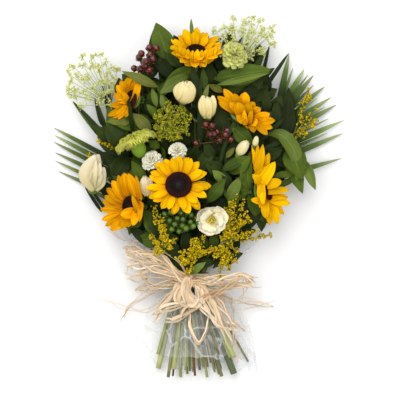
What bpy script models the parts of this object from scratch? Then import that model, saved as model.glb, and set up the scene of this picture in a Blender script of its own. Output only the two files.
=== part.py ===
"""Flower sheaf: a tied bunch of cut flowers and greenery that lies on its back.

X runs across the bunch, +Y from the cut ends to the blooms, and +Z up from the table.
Lengths are in millimetres here, and each mesh is made in metres.
"""

import math
import random

import bpy
from mathutils import Matrix, Vector
from mathutils.bvhtree import BVHTree

MM = 0.001
UP = Vector((0, 0, 1))

# The tie
TIE = Vector((-16.5, -130, 0))
BAND_WIDTH = 16.0
BAND_THICK = 1.6
BAND_CORNER = 8.0
FILM_THICK = 0.8
GAP = 0.4
STEM_GAP = 0.4
FLAT_TOP = 0.6
THIN_STEM = 3.5
CLEAR = 0.3
LEAF_GAP = 0.4
TIE_STRAIGHT = 12.5
CUT_Y = -287.0
FAN_OUT = 2.9
LOW_FAN_OUT = 1.9
FAN_LEAN = 14.0

# Height of the lowest stems: band, film and a gap on either side of the film
BED = BAND_THICK + GAP + FILM_THICK + GAP

# Sunflowers: middle of the disc, facing, radius of the ray tips, disc radius, cup of the rays, rays
SUNFLOWERS = {
    "sunflower_top": ((-7, 245, 80), (0, 0.68, 0.73), 43, 17, 34, 16),
    "sunflower_upper_left": ((-113, 167, 78), (-0.84, 0.1, 0.52), 40, 15, 38, 14),
    "sunflower_lower_left": ((-121, -8, 82), (-0.7, -0.06, 0.71), 46, 18, 30, 16),
    "sunflower_centre": ((-35, 25, 114), (0, 0.26, 0.966), 52, 22, 12, 18),
    "sunflower_upper_right": ((68, 142, 86), (0.55, 0.73, 0.40), 52, 18, 38, 16),
    "sunflower_right": ((104, 16, 84), (0.90, 0.05, 0.43), 56, 18, 34, 16),
}

# Roses and the lisianthus: middle of the bloom, facing, radius, height, petals in each layer, opening
ROSES = {
    "rose_left": ((-172, 40, 62), (-0.75, 0.1, 0.65), 26, 46, (4, 5), 0.35),
    "rose_upper_a": ((-25, 176, 98), (-0.1, 0.3, 0.95), 15, 30, (3, 4), 0.15),
    "rose_upper_b": ((10, 152, 92), (0.25, 0.4, 0.88), 15, 30, (3, 4), 0.15),
    "rose_mid": ((-88.8, 32, 83.6), (-0.2, 0.25, 0.95), 12, 28, (3, 3), 0.1),
    "lisianthus": ((21, -31, 92), (0.1, -0.05, 0.99), 23, 24, (6,), 0.9),
    "lisianthus_bud_a": ((69, 84, 92), (0.1, 0.6, 0.79), 8, 24, (3,), 0.0),
    "lisianthus_bud_b": ((92, 92, 88), (0.35, 0.6, 0.72), 6, 20, (3,), 0.0),
}

# Carnations: middle of the frill, facing, radius, teeth round half the frill
CARNATIONS = {
    "carnation_left": ((-104, 102, 88), (-0.25, 0.85, 0.46), 32, 8),
    "carnation_top": ((50, 241, 76), (0.2, 0.5, 0.85), 20, 7),
    "spray_carnation_a": ((-82, 67, 92), (-0.2, 0.2, 0.96), 15, 6),
    "spray_carnation_b": ((-36, 88, 94), (0.1, 0.5, 0.86), 14, 6),
}

# Rows of stems at the tie, lowest row first, each from left to right
ROWS = (
    ("palm_left", "umbel_left", "greens_upper_left", "palm_centre", "umbel_top", "palm_right",
     "greens_right"),
    ("sunflower_upper_left", "hypericum_left", "sunflower_top", "carnation_top", "greens_upper_right",
     "sunflower_upper_right", "goldenrod_right"),
    ("rose_left", "sunflower_lower_left", "greens_left", "carnation_left", "ladys_mantle",
     "rose_upper", "sunflower_right"),
    ("rose_mid", "spray_carnation", "sunflower_centre", "hypericum_centre", "greens_centre",
     "lisianthus_spray"),
    ("greens_lower", "goldenrod_left", "hypericum_green", "goldenrod_centre", "lisianthus",
     "goldenrod_lower_right"),
)

# Stem radius at the tie, and at the top
STEM_RADII = {"sunflower": (6.0, 4.6), "rose": (3.2, 2.4), "carnation": (2.4, 1.8), "palm": (2.4, 1.4)}
SPRAY_RADII = (2.2, 1.5)

# Where the stems of the sprays and of the leafy stems end, and the way they point there
STEM_ENDS = {
    "palm_left": ((-150, 92, 7), (-0.4, 0.9, 0.0)),
    "palm_right": ((128, 140, 9), (0.5, 0.85, 0.0)),
    "palm_centre": ((52, 205, 12), (0.25, 0.97, 0.0)),
    "umbel_left": ((-150, 160, 20), (-0.5, 0.8, 0.3)),
    "umbel_top": ((66, 232, 20), (0.2, 0.9, 0.3)),
    "greens_upper_left": ((-66, 214, 44), (-0.1, 0.8, 0.6)),
    "greens_upper_right": ((28, 200, 48), (0.2, 0.7, 0.7)),
    "greens_right": ((146, 96, 30), (0.5, 0.8, 0.4)),
    "greens_left": ((-122, 84, 50), (-0.3, 0.7, 0.65)),
    "greens_centre": ((46, 44, 62), (0.2, 0.5, 0.85)),
    "greens_lower": ((-66, -62, 66), (-0.4, 0.5, 0.77)),
    "goldenrod_right": ((150, 92, 30), (0.4, 0.9, 0.1)),
    "goldenrod_left": ((-60, -78, 76), (-0.3, 0.6, 0.7)),
    "goldenrod_centre": ((-6, -96, 70), (0.1, 0.7, 0.7)),
    "goldenrod_lower_right": ((34, -72, 72), (0.5, 0.5, 0.7)),
    "hypericum_left": ((-92, 212, 60), (-0.1, 0.6, 0.8)),
    "hypericum_centre": ((22, 96, 72), (0.1, 0.3, 0.95)),
    "hypericum_green": ((-26, -52, 74), (0.0, 0.4, 0.9)),
    "ladys_mantle": ((-46, 108, 60), (0.0, 0.3, 0.95)),
    "rose_upper": ((-8, 132, 60), (0.0, 0.6, 0.8)),
    "spray_carnation": ((-58, 56, 62), (0.0, 0.5, 0.87)),
    "lisianthus_spray": ((74, 58, 66), (0.1, 0.7, 0.7)),
}

# Leaves: tip, half width, arch, and how far back along the stem the leaf starts
LEAVES = {
    "greens_upper_left": (((-73, 292, 40), 15, 14, 0.0), ((-134, 208, 96), 13, 14, 0.03),
                          ((-56, 254, 56), 9, 8, 0.06), ((-58, 172, 66), 9, 8, 0.09),
                          ((-90, 158, 56), 8, 6, 0.12)),
    "greens_upper_right": (((116, 217, 60), 17, 10, 0.0), ((88, 186, 50), 12, 8, 0.04),
                           ((20, 170, 66), 9, 8, 0.08), ((2, 206, 58), 8, 6, 0.12)),
    "greens_right": (((170, 34, 44), 18, 26, 0.0), ((190, 20, 12), 13, 14, 0.04),
                     ((158, 4, 8), 9, 10, 0.08), ((122, 92, 40), 10, 8, 0.12)),
    "greens_left": (((-158, 126, 52), 14, 12, 0.0), ((-82, 144, 60), 11, 8, 0.03),
                    ((-146, 30, 50), 15, 14, 0.06), ((-98, 26, 56), 14, 10, 0.09),
                    ((-70, 88, 58), 12, 8, 0.12), ((-152, 78, 40), 12, 8, 0.15)),
    "greens_centre": (((84, 72, 66), 13, 8, 0.0), ((8, 62, 72), 12, 8, 0.03),
                      ((62, -8, 62), 13, 10, 0.09), ((20, 2, 66), 11, 8, 0.12),
                      ((100, -40, 46), 12, 10, 0.22), ((66, 112, 66), 12, 8, 0.06)),
    "greens_lower": (((-92, -16, 52), 13, 8, 0.0), ((-104, -66, 52), 13, 8, 0.05),
                     ((-56, -26, 66), 12, 8, 0.1), ((-34, -62, 62), 10, 6, 0.15)),
    "sunflower_top": (((-66, 176, 78), 13, 10, 0.05), ((38, 196, 54), 11, 8, 0.1)),
    "sunflower_centre": (((-84, 40, 78), 14, 8, 0.05), ((10, 36, 76), 12, 8, 0.08)),
    "sunflower_right": (((74, 66, 70), 12, 10, 0.06), ((118, -40, 36), 13, 10, 0.1)),
    "sunflower_upper_right": (((86, 92, 44), 13, 10, 0.06),),
    "sunflower_lower_left": (((-96, 38, 56), 11, 8, 0.06), ((-118, -58, 40), 12, 8, 0.1)),
}

# Where leaves fill the gaps: rows across the bunch, each with its left and its right end
FILL_ROWS = (
    (-92, -50, 20), (-64, -82, 58), (-36, -118, 92), (-8, -146, 128), (20, -150, 150), (48, -146, 158),
    (76, -150, 160), (104, -148, 160), (132, -144, 140), (160, -138, 122), (188, -124, 104), (216, -100, 76),
)
FILL_STEP = 30.0
OPEN_BELOW = 14.0
FILL_HOSTS = ("greens_upper_left", "greens_upper_right", "greens_right", "greens_left", "greens_centre",
              "greens_lower", "sunflower_top", "sunflower_upper_left", "sunflower_lower_left",
              "sunflower_centre", "sunflower_upper_right", "sunflower_right", "rose_left")

# Palm leaflets: tips of each frond, with the share of the frond at which each starts
PALM_TIPS = {
    "palm_left": (((-247, 122, 6), 0.80), ((-245, 109, 2), 0.72), ((-247, 98, 5), 0.66),
                  ((-244, 80, 2), 0.60), ((-244, 66, 5), 0.52), ((-238, 48, 2), 0.46),
                  ((-213, 163, 16), 0.90), ((-176, 172, 12), 1.0), ((-193, 20, 2), 0.40)),
    "palm_right": (((150, 246, 9), 1.0), ((175, 220, 4), 0.96), ((191, 210, 9), 0.90),
                   ((210, 191, 4), 0.84), ((221, 173, 9), 0.78), ((229, 160, 4), 0.72),
                   ((242, 134, 9), 0.66), ((240, 112, 3), 0.58), ((238, 70, 7), 0.50)),
    "palm_centre": (((-4, 196, 26), 0.70), ((66, 266, 12), 1.0), ((82, 268, 6), 0.97),
                    ((96, 254, 12), 0.92), ((118, 256, 5), 0.86), ((26, 262, 8), 0.94)),
}
LEAFLET_HALF_WIDTH = 5.2

# Berries: middles of the berries of each spray
BERRIES = {
    "hypericum_left": ((-84, 252, 70), (-97, 242, 76), (-78, 232, 84), (-101, 236, 66),
                       (-109, 218, 72), (-99, 216, 82), (-83, 214, 84), (-90, 228, 88)),
    "hypericum_centre": ((8, 124, 90), (20, 122, 97), (16, 108, 98), (28, 112, 90), (44, 114, 92),
                         (32, 98, 96), (50, 100, 88), (-6, 94, 90)),
    "hypericum_green": ((-48, -20, 84), (-36, -16, 88), (-49, -34, 88), (-37, -30, 93), (-22, -22, 87),
                        (-29, -42, 92), (-6, -30, 84), (-16, -36, 90)),
}
BERRY_RADIUS = 5.4

# Goldenrod: tips of the flowering twigs of each plume
PLUMES = {
    "goldenrod_left": ((-75, -12, 80), (-62, -40, 86), (-82, -62, 72), (-72, -88, 80), (-44, -66, 84)),
    "goldenrod_centre": ((-30, -84, 80), (-14, -66, 86), (6, -62, 82), (20, -80, 76), (-28, -106, 78)),
    "goldenrod_lower_right": ((47, -6, 82), (58, 4, 74), (78, -26, 74), (114, -58, 52), (62, -82, 60),
                              (50, -112, 48)),
    "goldenrod_right": ((182, 182, 26), (190, 150, 34), (178, 122, 32), (168, 138, 38)),
}

# Umbels and lady's mantle: middle of the froth, its half sizes, and its heads
FROTH = {
    "umbel_left": ((-178, 200, 34), (48, 44, 14), 7),
    "umbel_top": ((76, 272, 34), (54, 36, 12), 7),
    "ladys_mantle": ((-46, 127, 84), (26, 28, 10), 7),
}

# Raffia: each strip through its points, as seen from above, with heights
RAFFIA_HALF_WIDTH = 3.0
RAFFIA_THICK = 0.9
KNOT_DEPTH = 5.5
STRIPS = (
    ((-50, -116, 68), (-92, -92, 62), (-112, -114, 56), (-66, -134, 62)),
    ((-54, -104, 76), (-86, -64, 66), (-118, -48, 56), (-146, -52, 46)),
    ((-58, -142, 58), (-104, -158, 36), (-152, -170, 20)),
    ((-46, -150, 60), (-92, -184, 40), (-129, -206, 24)),
    ((16, -122, 68), (62, -116, 60), (92, -134, 54), (52, -150, 58)),
    ((12, -140, 66), (58, -162, 58), (84, -186, 53), (62, -202, 56), (30, -188, 62)),
    ((-30, -156, 66), (-46, -190, 62), (-22, -204, 62), (-8, -168, 65)),
    ((0, -156, 66), (22, -190, 62), (6, -230, 60), (-10, -238, 60)),
    ((8, -150, 66), (34, -200, 60), (74, -270, 56)),
    ((-6, -158, 66), (14, -206, 66), (38, -246, 64)),
)

# Colour, roughness and metallic value of each material
FINISHES = {
    "stem_green": ((0.16, 0.24, 0.05), 0.5),
    "leaf_green": ((0.07, 0.15, 0.03), 0.45),
    "palm_green": ((0.06, 0.14, 0.05), 0.4),
    "ray_yellow": ((0.87, 0.52, 0.02), 0.55),
    "disc_brown": ((0.06, 0.02, 0.02), 0.9),
    "rose_cream": ((0.83, 0.74, 0.48), 0.6),
    "petal_white": ((0.86, 0.84, 0.74), 0.6),
    "petal_lime": ((0.62, 0.66, 0.24), 0.65),
    "berry_red": ((0.18, 0.01, 0.02), 0.2),
    "berry_green": ((0.16, 0.27, 0.07), 0.25),
    "goldenrod_yellow": ((0.68, 0.52, 0.06), 0.8),
    "froth_lime": ((0.48, 0.52, 0.12), 0.8),
    "raffia_straw": ((0.66, 0.48, 0.28), 0.7),
    "cellophane_clear": ((0.9, 0.92, 0.92), 0.1),
}


# Curves

def bezier(p0, p1, p2, p3, count):
    """Points along a cubic curve, ends included."""
    points = []
    for i in range(count + 1):
        t = i / count
        s = 1 - t
        points.append(p0 * s**3 + p1 * (3 * s * s * t) + p2 * (3 * s * t * t) + p3 * t**3)
    return points


def through(points, count):
    """A smooth curve through the given points, with the same count of steps between each two."""
    points = [Vector(point) for point in points]
    padded = [points[0] * 2 - points[1], *points, points[-1] * 2 - points[-2]]
    smooth = []
    for a, b, c, d in zip(padded, padded[1:], padded[2:], padded[3:]):
        for i in range(count):
            t = i / count
            smooth.append(
                (b * 2 + (c - a) * t + (a * 2 - b * 5 + c * 4 - d) * t**2 + (b * 3 - a - c * 3 + d) * t**3) / 2
            )
    smooth.append(points[-1])
    return smooth


def arched(start, tip, arch, count):
    """A curve from start to tip that rises by about arch between them."""
    middle = (start + tip) / 2 + UP * (arch * 2)
    return [
        start * (1 - i / count)**2 + middle * (2 * i / count * (1 - i / count)) + tip * (i / count)**2
        for i in range(count + 1)
    ]


def tangents(path):
    last = len(path) - 1
    return [(path[min(i + 1, last)] - path[max(i - 1, 0)]).normalized() for i in range(last + 1)]


# Closed solids, each a list of points and a list of faces

def skin(rings, tip=None, split=False):
    """Closes a row of rings with faces, with a flat base and either a flat end or a pointed tip."""
    size = len(rings[0])
    points = [point for ring in rings for point in ring]
    faces = [tuple(reversed(range(size)))]
    for row in range(len(rings) - 1):
        for i in range(size):
            a = row * size + i
            b = row * size + (i + 1) % size
            if split and i in (0, 3):
                faces += [(a, b, b + size), (a, b + size, a + size)]
            elif split:
                faces += [(a, b, a + size), (b, b + size, a + size)]
            else:
                faces.append((a, b, b + size, a + size))
    top = (len(rings) - 1) * size
    if tip is None:
        faces.append(tuple(range(top, top + size)))
    else:
        points.append(tip)
        faces += [(top + i, top + (i + 1) % size, len(points) - 1) for i in range(size)]
    return points, faces


def tube(path, radii, sides, cut=0.0):
    """A round stem along a path. Its first end is cut at a slant where cut isn't zero."""
    side = tangents(path)[0].cross(UP + Vector((0.01, 0, 0)))
    rings = []
    for point, along, radius in zip(path, tangents(path), radii):
        side = (side - along * side.dot(along)).normalized()
        other = along.cross(side)
        turns = [2 * math.pi * i / sides for i in range(sides)]
        rings.append([point + (side * math.cos(a) + other * math.sin(a)) * radius for a in turns])
    along = tangents(path)[0]
    rings[0] = [point + along * (cut * (point - path[0]).dot(side)) for point in rings[0]]
    return skin(rings)


def blade(path, half_widths, up, thick, fold=0.0, wave=0.0):
    """A leaf or petal that ends in a point: thick along its rib and thin at its edges."""
    rings = []
    for i, (point, along) in enumerate(zip(path[:-1], tangents(path))):
        side = along.cross(up).normalized()
        face = side.cross(along)
        reach = side * half_widths[i]
        lift = face * (fold * half_widths[i])
        ripple = face * (wave if i % 2 else -wave)
        rib = face * (thick / 2)
        rings.append([point - reach + lift + ripple, point + rib, point + reach + lift - ripple, point - rib])
    return skin(rings, path[-1], split=True)


def flake(outline, rib, face, thick):
    """A small thin petal or leaf: an outline, with both faces running up to a rib point."""
    count = len(outline)
    points = [*outline, rib + face * (thick / 2), rib - face * (thick / 2)]
    faces = []
    for i in range(count):
        j = (i + 1) % count
        faces += [(i, j, count), (j, i, count + 1)]
    return points, faces


def sheet(rows, thick):
    """A shell of even thickness on a grid of points, with both faces split into like triangles."""
    count = len(rows[0])
    last = len(rows) - 1
    front, back = [], []
    for r, row in enumerate(rows):
        for c, point in enumerate(row):
            down = rows[min(r + 1, last)][c] - rows[max(r - 1, 0)][c]
            across = row[min(c + 1, count - 1)] - row[max(c - 1, 0)]
            offset = across.cross(down).normalized() * (thick / 2)
            front.append(point + offset)
            back.append(point - offset)
    size = len(front)
    faces = []
    for r in range(last):
        for c in range(count - 1):
            a = r * count + c
            b = a + 1
            e = a + count
            f = e + 1
            faces += [(a, b, f), (a, f, e), (a + size, f + size, b + size), (a + size, e + size, f + size)]
    rim = [c for c in range(count)]
    rim += [r * count + count - 1 for r in range(1, last + 1)]
    rim += [last * count + c for c in range(count - 2, -1, -1)]
    rim += [r * count for r in range(last - 1, 0, -1)]
    for a, b in zip(rim, rim[1:] + rim[:1]):
        faces += [(a, a + size, b + size), (a, b + size, b)]
    return front + back, faces


def turned(profile, sides, relief=0.0):
    """A shape turned round +Z from its lowest middle point to its highest, with pips where relief isn't zero."""
    rings = []
    for row, (radius, height) in enumerate(profile[1:-1]):
        ring = []
        for i in range(sides):
            angle = 2 * math.pi * (i + 0.5 * (row % 2)) / sides
            pip = relief if (i + row) % 2 else 0.0
            ring.append(Vector((radius * math.cos(angle), radius * math.sin(angle), height + pip)))
        rings.append(ring)
    points = [point for ring in rings for point in ring]
    faces = []
    for row in range(len(rings) - 1):
        for i in range(sides):
            a = row * sides + i
            b = row * sides + (i + 1) % sides
            if row % 2:
                faces += [(a, b, b + sides), (a, b + sides, a + sides)]
            else:
                faces += [(a, b, a + sides), (b, b + sides, a + sides)]
    for pole, ring, turn in ((profile[0], 0, -1), (profile[-1], len(rings) - 1, 1)):
        points.append(Vector((0, 0, pole[1])))
        for i in range(sides):
            a = ring * sides + i
            b = ring * sides + (i + 1) % sides
            faces.append((a, b, len(points) - 1)[::turn])
    return points, faces


def ball(middle, radius, long=1.0, sides=6):
    profile = [(0, -long), (0.88, -0.45 * long), (0.88, 0.45 * long), (0, long)]
    points, faces = turned([(r * radius, z * radius) for r, z in profile], sides)
    return [point + Vector(middle) for point in points], faces


def placed(solid, middle, facing):
    """Turns a solid's +Z to facing, with its +X level, and moves it to middle."""
    facing = Vector(facing).normalized()
    level = Vector((-facing.y, facing.x, 0))
    level = level.normalized() if level.length > 1e-4 else Vector((1, 0, 0))
    turn = Matrix((level, facing.cross(level), facing)).transposed()
    points, faces = solid
    return [turn @ point + Vector(middle) for point in points], faces


# Meshes and objects

def mesh_of(name, solid):
    points, faces = solid
    volume = 0.0
    for face in faces:
        for b, c in zip(face[1:], face[2:]):
            volume += points[face[0]].dot(points[b].cross(points[c]))
    if volume < 0:
        faces = [tuple(reversed(face)) for face in faces]
    mesh = bpy.data.meshes.new(name)
    mesh.from_pydata([point * MM for point in points], [], faces)
    mesh.validate()
    return mesh


def finish(name, slot):
    material = bpy.data.materials.get(slot) or bpy.data.materials.new(slot)
    colour, roughness = FINISHES[slot]
    material.use_nodes = True
    shader = material.node_tree.nodes["Principled BSDF"]
    shader.inputs["Base Color"].default_value = (*colour, 1)
    shader.inputs["Roughness"].default_value = roughness
    shader.inputs["Metallic"].default_value = 0.0
    material.diffuse_color = (*colour, 1)
    mesh = bpy.data.objects[name].data
    mesh.materials.clear()
    mesh.materials.append(material)


def fuse(name, solids, slot):
    """Makes one named object of the solids, joined into one closed body."""
    body = bpy.data.objects.new(name, mesh_of(name, solids[0]))
    bpy.context.scene.collection.objects.link(body)
    if len(solids) > 1:
        pieces = bpy.data.collections.new(name + "_pieces")
        bpy.context.scene.collection.children.link(pieces)
        for solid in solids[1:]:
            piece = bpy.data.objects.new(name + "_piece", mesh_of(name + "_piece", solid))
            pieces.objects.link(piece)
        union = body.modifiers.new("union", "BOOLEAN")
        union.operation = "UNION"
        union.operand_type = "COLLECTION"
        union.collection = pieces
        union.solver = "MANIFOLD"
        evaluated = body.evaluated_get(bpy.context.evaluated_depsgraph_get())
        joined = bpy.data.meshes.new_from_object(evaluated)
        body.modifiers.clear()
        body.data = joined
        for piece in list(pieces.objects):
            bpy.data.objects.remove(piece)
        bpy.data.collections.remove(pieces)
    finish(name, slot)


def tree_of(solid):
    points, faces = solid
    return BVHTree.FromPolygons(points, faces)


class Bunch:
    """The nodes as they grow: the solids and the material of each, with trees that tell what crosses what."""

    def __init__(self):
        self.solids = {}
        self.slots = {}
        self.trees = {}

    def add(self, name, slot, solids):
        self.slots[name] = slot
        self.solids.setdefault(name, []).extend(solids)
        self.trees.setdefault(name, []).extend(tree_of(solid) for solid in solids)

    def crosses(self, name, solid, own_too=False):
        """Whether a solid of this node would cross another node, or one of its own leaves."""
        tree = tree_of(solid)
        for owner, trees in self.trees.items():
            if owner == name:
                trees = trees[1:] if own_too else ()
            if any(tree.overlap(other) for other in trees):
                return True
        return False

    def top_at(self, x, y):
        """Height of the highest surface over this point of the table, or zero where there is none."""
        hits = [tree.ray_cast(Vector((x, y, 300)), -UP)[0] for trees in self.trees.values() for tree in trees]
        return max([hit.z for hit in hits if hit], default=0)

    def fuse_all(self):
        for name, solids in self.solids.items():
            fuse(name, solids, self.slots[name])


# Stems

def stem_radii(name):
    for kind, radii in STEM_RADII.items():
        if name.startswith(kind) or (kind in name and kind == "carnation"):
            return radii
    return SPRAY_RADII


def nest():
    """Where each stem crosses the tie: side by side in rows, each row on the one below."""
    slots = {}
    half_width = 0.0
    height = BED
    for row in ROWS:
        radii = [stem_radii(name)[0] for name in row]
        width = 2 * sum(radii) + STEM_GAP * (len(row) - 1)
        half_width = max(half_width, width / 2)
        x = TIE.x - width / 2
        for name, radius in zip(row, radii):
            slots[name] = Vector((x + radius, TIE.y, height + radius))
            x += 2 * radius + STEM_GAP
        height += 2 * max(radii) + STEM_GAP - (FLAT_TOP if max(radii) > THIN_STEM else 0)
    return slots, half_width, height


def raised(path, radius, laid):
    """Lifts a stem's path where it would cross a stem that is already there. Its ends stay."""
    steps = 8
    for _ in range(12):
        for i in range(len(path) - 1):
            for step in range(steps):
                share = step / steps
                point = path[i].lerp(path[i + 1], share)
                lift = 0.0
                for other, other_radius in laid:
                    reach = radius + other_radius + CLEAR
                    for a, b in zip(other, other[1:]):
                        run = (b - a).xy
                        along = (point - a).xy.dot(run) / max(run.length_squared, 1e-9)
                        near = a.lerp(b, min(max(along, 0), 1))
                        flat = (point - near).xy.length
                        if flat < reach and abs(point.z - near.z) < reach:
                            lift = max(lift, near.z + math.sqrt(reach**2 - flat**2) - point.z)
                if lift > 0.05:
                    lift = min(lift, 2.0) / ((1 - share)**2 + share**2)
                    if i > 0:
                        path[i].z += lift * (1 - share)
                    if i + 1 < len(path) - 1:
                        path[i + 1].z += lift * share
    return path


def stem_top(name):
    """Where a stem ends, which way it points there, and how long its last bend is."""
    if name in SUNFLOWERS:
        middle, facing = SUNFLOWERS[name][:2]
        facing = Vector(facing).normalized()
        return Vector(middle) - facing * 14, facing, 60
    if name in ROSES:
        middle, facing, radius, height = ROSES[name][:4]
        facing = Vector(facing).normalized()
        return Vector(middle) - facing * (height * 0.5 + 3), facing, 40
    if name in CARNATIONS:
        middle, facing, radius = CARNATIONS[name][:3]
        facing = Vector(facing).normalized()
        return Vector(middle) - facing * (radius * 0.5 + 14), facing, 40
    end, facing = STEM_ENDS[name]
    return Vector(end), Vector(facing).normalized(), 40


def lay_stems(slots):
    """Every stem's path, from its cut end through the tie to its top: lowest row first, longest stem first."""
    rng = random.Random(7)
    paths, laid = {}, []
    for row in ROWS:
        for name in sorted(row, key=lambda name: -(stem_top(name)[0] - slots[name]).xy.length):
            slot = slots[name]
            end, facing, bend = stem_top(name)
            away = end - slot
            away.z = 0
            leave = slot + Vector((0, TIE_STRAIGHT, 0))
            start = away.normalized() * min(away.length * 0.4, 60)
            free = bezier(leave, leave + start, end - facing * min(bend, away.length * 0.4), end, 7)
            radius = stem_radii(name)[0]
            for point in free[1:-1]:
                point.z = max(point.z, radius + 0.3 if point.y > 0 else min(slot.z, 14))
            free = raised(free, radius, laid)
            fan = LOW_FAN_OUT if row is ROWS[0] else FAN_OUT
            cut = Vector((TIE.x + FAN_LEAN + (slot.x - TIE.x) * fan, CUT_Y + rng.uniform(-12, 14), slot.z))
            paths[name] = [cut, slot - Vector((0, TIE_STRAIGHT, 0)), *free]
            laid.append((paths[name], radius))
    return paths


def along(path, share):
    """The point at a share of the way from the tie to the top of a stem."""
    free = path[2:]
    spot = share * (len(free) - 1)
    step = min(int(spot), len(free) - 2)
    return free[step].lerp(free[step + 1], spot - step)


def stem_solid(name, path, sides=4):
    thick, thin = stem_radii(name)
    last = len(path) - 1
    radii = [thick + (thin - thick) * max(i - 2, 0) / (last - 2) for i in range(last + 1)]
    return tube(path, radii, sides, cut=0.5)


# Blooms

def ray_ring(name):
    """The rays and the plate that they grow from, as one closed surface. Every other ray lies further back."""
    middle, facing, reach, disc, cup, rays = SUNFLOWERS[name]
    rng = random.Random(name)
    level = -3.4
    root = disc + 0.6
    points = [Vector((0, 0, level + 1.1)), Vector((0, 0, level - 1.1))]
    for i in range(rays):
        angle = 2 * math.pi * i / rays
        points.append(Vector((root * math.cos(angle), root * math.sin(angle), level)))
    faces = []
    for i in range(rays):
        back = i % 2
        angle = 2 * math.pi * (i + 0.5 + rng.uniform(-0.08, 0.08)) / rays
        rise = math.radians(cup - 10 * back + rng.uniform(-1.5, 1.5))
        curl = rng.uniform(0, 0.35) * (-1 if back else 1)
        length = (reach - disc) / math.cos(rise) * rng.uniform(0.92, 1.08)
        half = rng.uniform(7.0, 8.4)
        outward = Vector((math.cos(angle), math.sin(angle), 0))
        across = Vector((-math.sin(angle), math.cos(angle), 0))
        left, right = 2 + i, 2 + (i + 1) % rays
        first = len(points)
        points += [outward * root + UP * (level + 0.6), outward * root + UP * (level - 0.6)]
        faces += [(0, first, left), (0, right, first), (1, left, first + 1), (1, first + 1, right)]
        ring = (left, first, right, first + 1)
        spot = outward * root + UP * level
        for step, wide in ((0.56, 1.0), (0.44, 0.0)):
            spot = spot + (outward * math.cos(rise) + UP * math.sin(rise)) * (length * step)
            face = UP * math.cos(rise) - outward * math.sin(rise)
            rise += curl * 1.5
            start = len(points)
            if wide == 0:
                points.append(spot)
                faces += [(a, b, start) for a, b in zip(ring, ring[1:] + ring[:1])]
                break
            edge = across * (half * wide)
            lift = face * (0.1 * half)
            points += [spot - edge + lift, spot + face * 0.4, spot + edge + lift, spot - face * 0.4]
            after = (start, start + 1, start + 2, start + 3)
            for k in range(4):
                a, b, c, d = ring[k], ring[(k + 1) % 4], after[(k + 1) % 4], after[k]
                faces += [(a, b, c), (a, c, d)] if k in (0, 3) else [(a, b, d), (b, c, d)]
            ring = after
    return points, faces


def sunflower(bunch, name, path):
    """A sunflower: its stem with a cup of pointed bracts, the ring of rays, and the disc with its raised rim."""
    middle, facing, reach, disc, cup, rays = SUNFLOWERS[name]
    bracts = 14
    rings = []
    for radius, height, point in ((6, -16, 0), (disc, -8.5, 16), (disc - 1, -5.4, 0)):
        ring = []
        for i in range(bracts):
            angle = 2 * math.pi * i / bracts
            out = radius + point * (i % 2)
            ring.append(Vector((out * math.cos(angle), out * math.sin(angle), height - 0.15 * point * (i % 2))))
        rings.append(ring)
    bunch.add(name + "_green", "stem_green", [stem_solid(name, path, 6), placed(skin(rings), middle, facing)])
    bunch.add(name + "_rays", "ray_yellow", [placed(ray_ring(name), middle, facing)])
    dome = [(0, -1.7), (disc - 0.6, -1.7), (disc, 0.8), (disc * 0.72, 3.4), (disc * 0.34, 1.8), (0, 1.6)]
    bunch.add(name + "_disc", "disc_brown", [placed(turned(dome, 12, relief=1.0), middle, facing)])


def cupped(azimuth, radius, low, high, half_width, flare):
    """A cupped petal whose one side tucks behind the next petal, with its rounded top leaning out by flare."""
    outward = Vector((math.cos(azimuth), math.sin(azimuth), 0))
    across = Vector((-math.sin(azimuth), math.cos(azimuth), 0))
    outline = []
    for side, out, level in ((-0.25, 0.45, 0.0), (0.25, 0.45, 0.0), (0.95, 0.8, 0.5), (0.85, 0.84, 0.85),
                             (0.0, 1.0, 1.0), (-0.85, 1.04, 0.85), (-0.95, 1.0, 0.5)):
        reach = radius * out * (1 + flare * level)
        outline.append(outward * reach + across * (side * half_width) + UP * (low + (high - low) * level))
    rib = outward * (radius * (1.06 + 0.5 * flare)) + UP * (low + (high - low) * 0.55)
    return flake(outline, rib, outward, 1.2)


def rose_head(name):
    middle, facing, radius, height, layers, opening = ROSES[name]
    half = height / 2
    bud = 0.5 * radius
    core = [(0, -half), (bud, -half * 0.5), (bud, half * 0.2), (bud * 0.45, half * 0.75), (0, half * 0.75)]
    if opening > 0.6:
        core = [(0, -half), (bud * 1.2, -half * 0.7), (bud * 1.1, -half * 0.2), (0, 0)]
    solids = [turned(core, 7)]
    rng = random.Random(name)
    for layer, petals in enumerate(layers):
        share = (layer + 1) / len(layers)
        for i in range(petals):
            azimuth = 2 * math.pi * (i + 0.5 * layer + rng.uniform(-0.1, 0.1)) / petals
            ring = radius * (0.28 + 0.64 * share)
            top = half * (1.0 - 0.5 * opening * share - 0.1 * share + rng.uniform(-0.06, 0.06))
            wide = ring * math.sin(math.pi / petals) * (1.12 + 0.2 * opening)
            solids.append(cupped(azimuth, ring, -half * 0.4, top, wide, (0.1 + 0.5 * opening) * share))
    return [placed(solid, middle, facing) for solid in solids]


def calyx(table, name, depth, radius):
    """The green cup under a bloom."""
    middle, facing = table[name][:2]
    profile = [(0, -depth - 6), (radius, -depth), (radius * 0.8, -depth + 2.6), (0, -depth + 2.6)]
    return placed(turned(profile, 6), middle, facing)


def forked(name, path, tops):
    """A stem, with short twigs from its top to the cups under its blooms."""
    solids = [stem_solid(name, path)]
    for table, bloom, depth in tops:
        middle, facing = table[bloom][:2]
        foot = Vector(middle) - Vector(facing).normalized() * (depth + 3)
        root = path[-1].lerp(path[-2], 0.06)
        solids.append(tube([root, (root + foot) / 2 - UP * 3, foot], [1.7, 1.7, 1.5], 3))
    return solids


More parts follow.
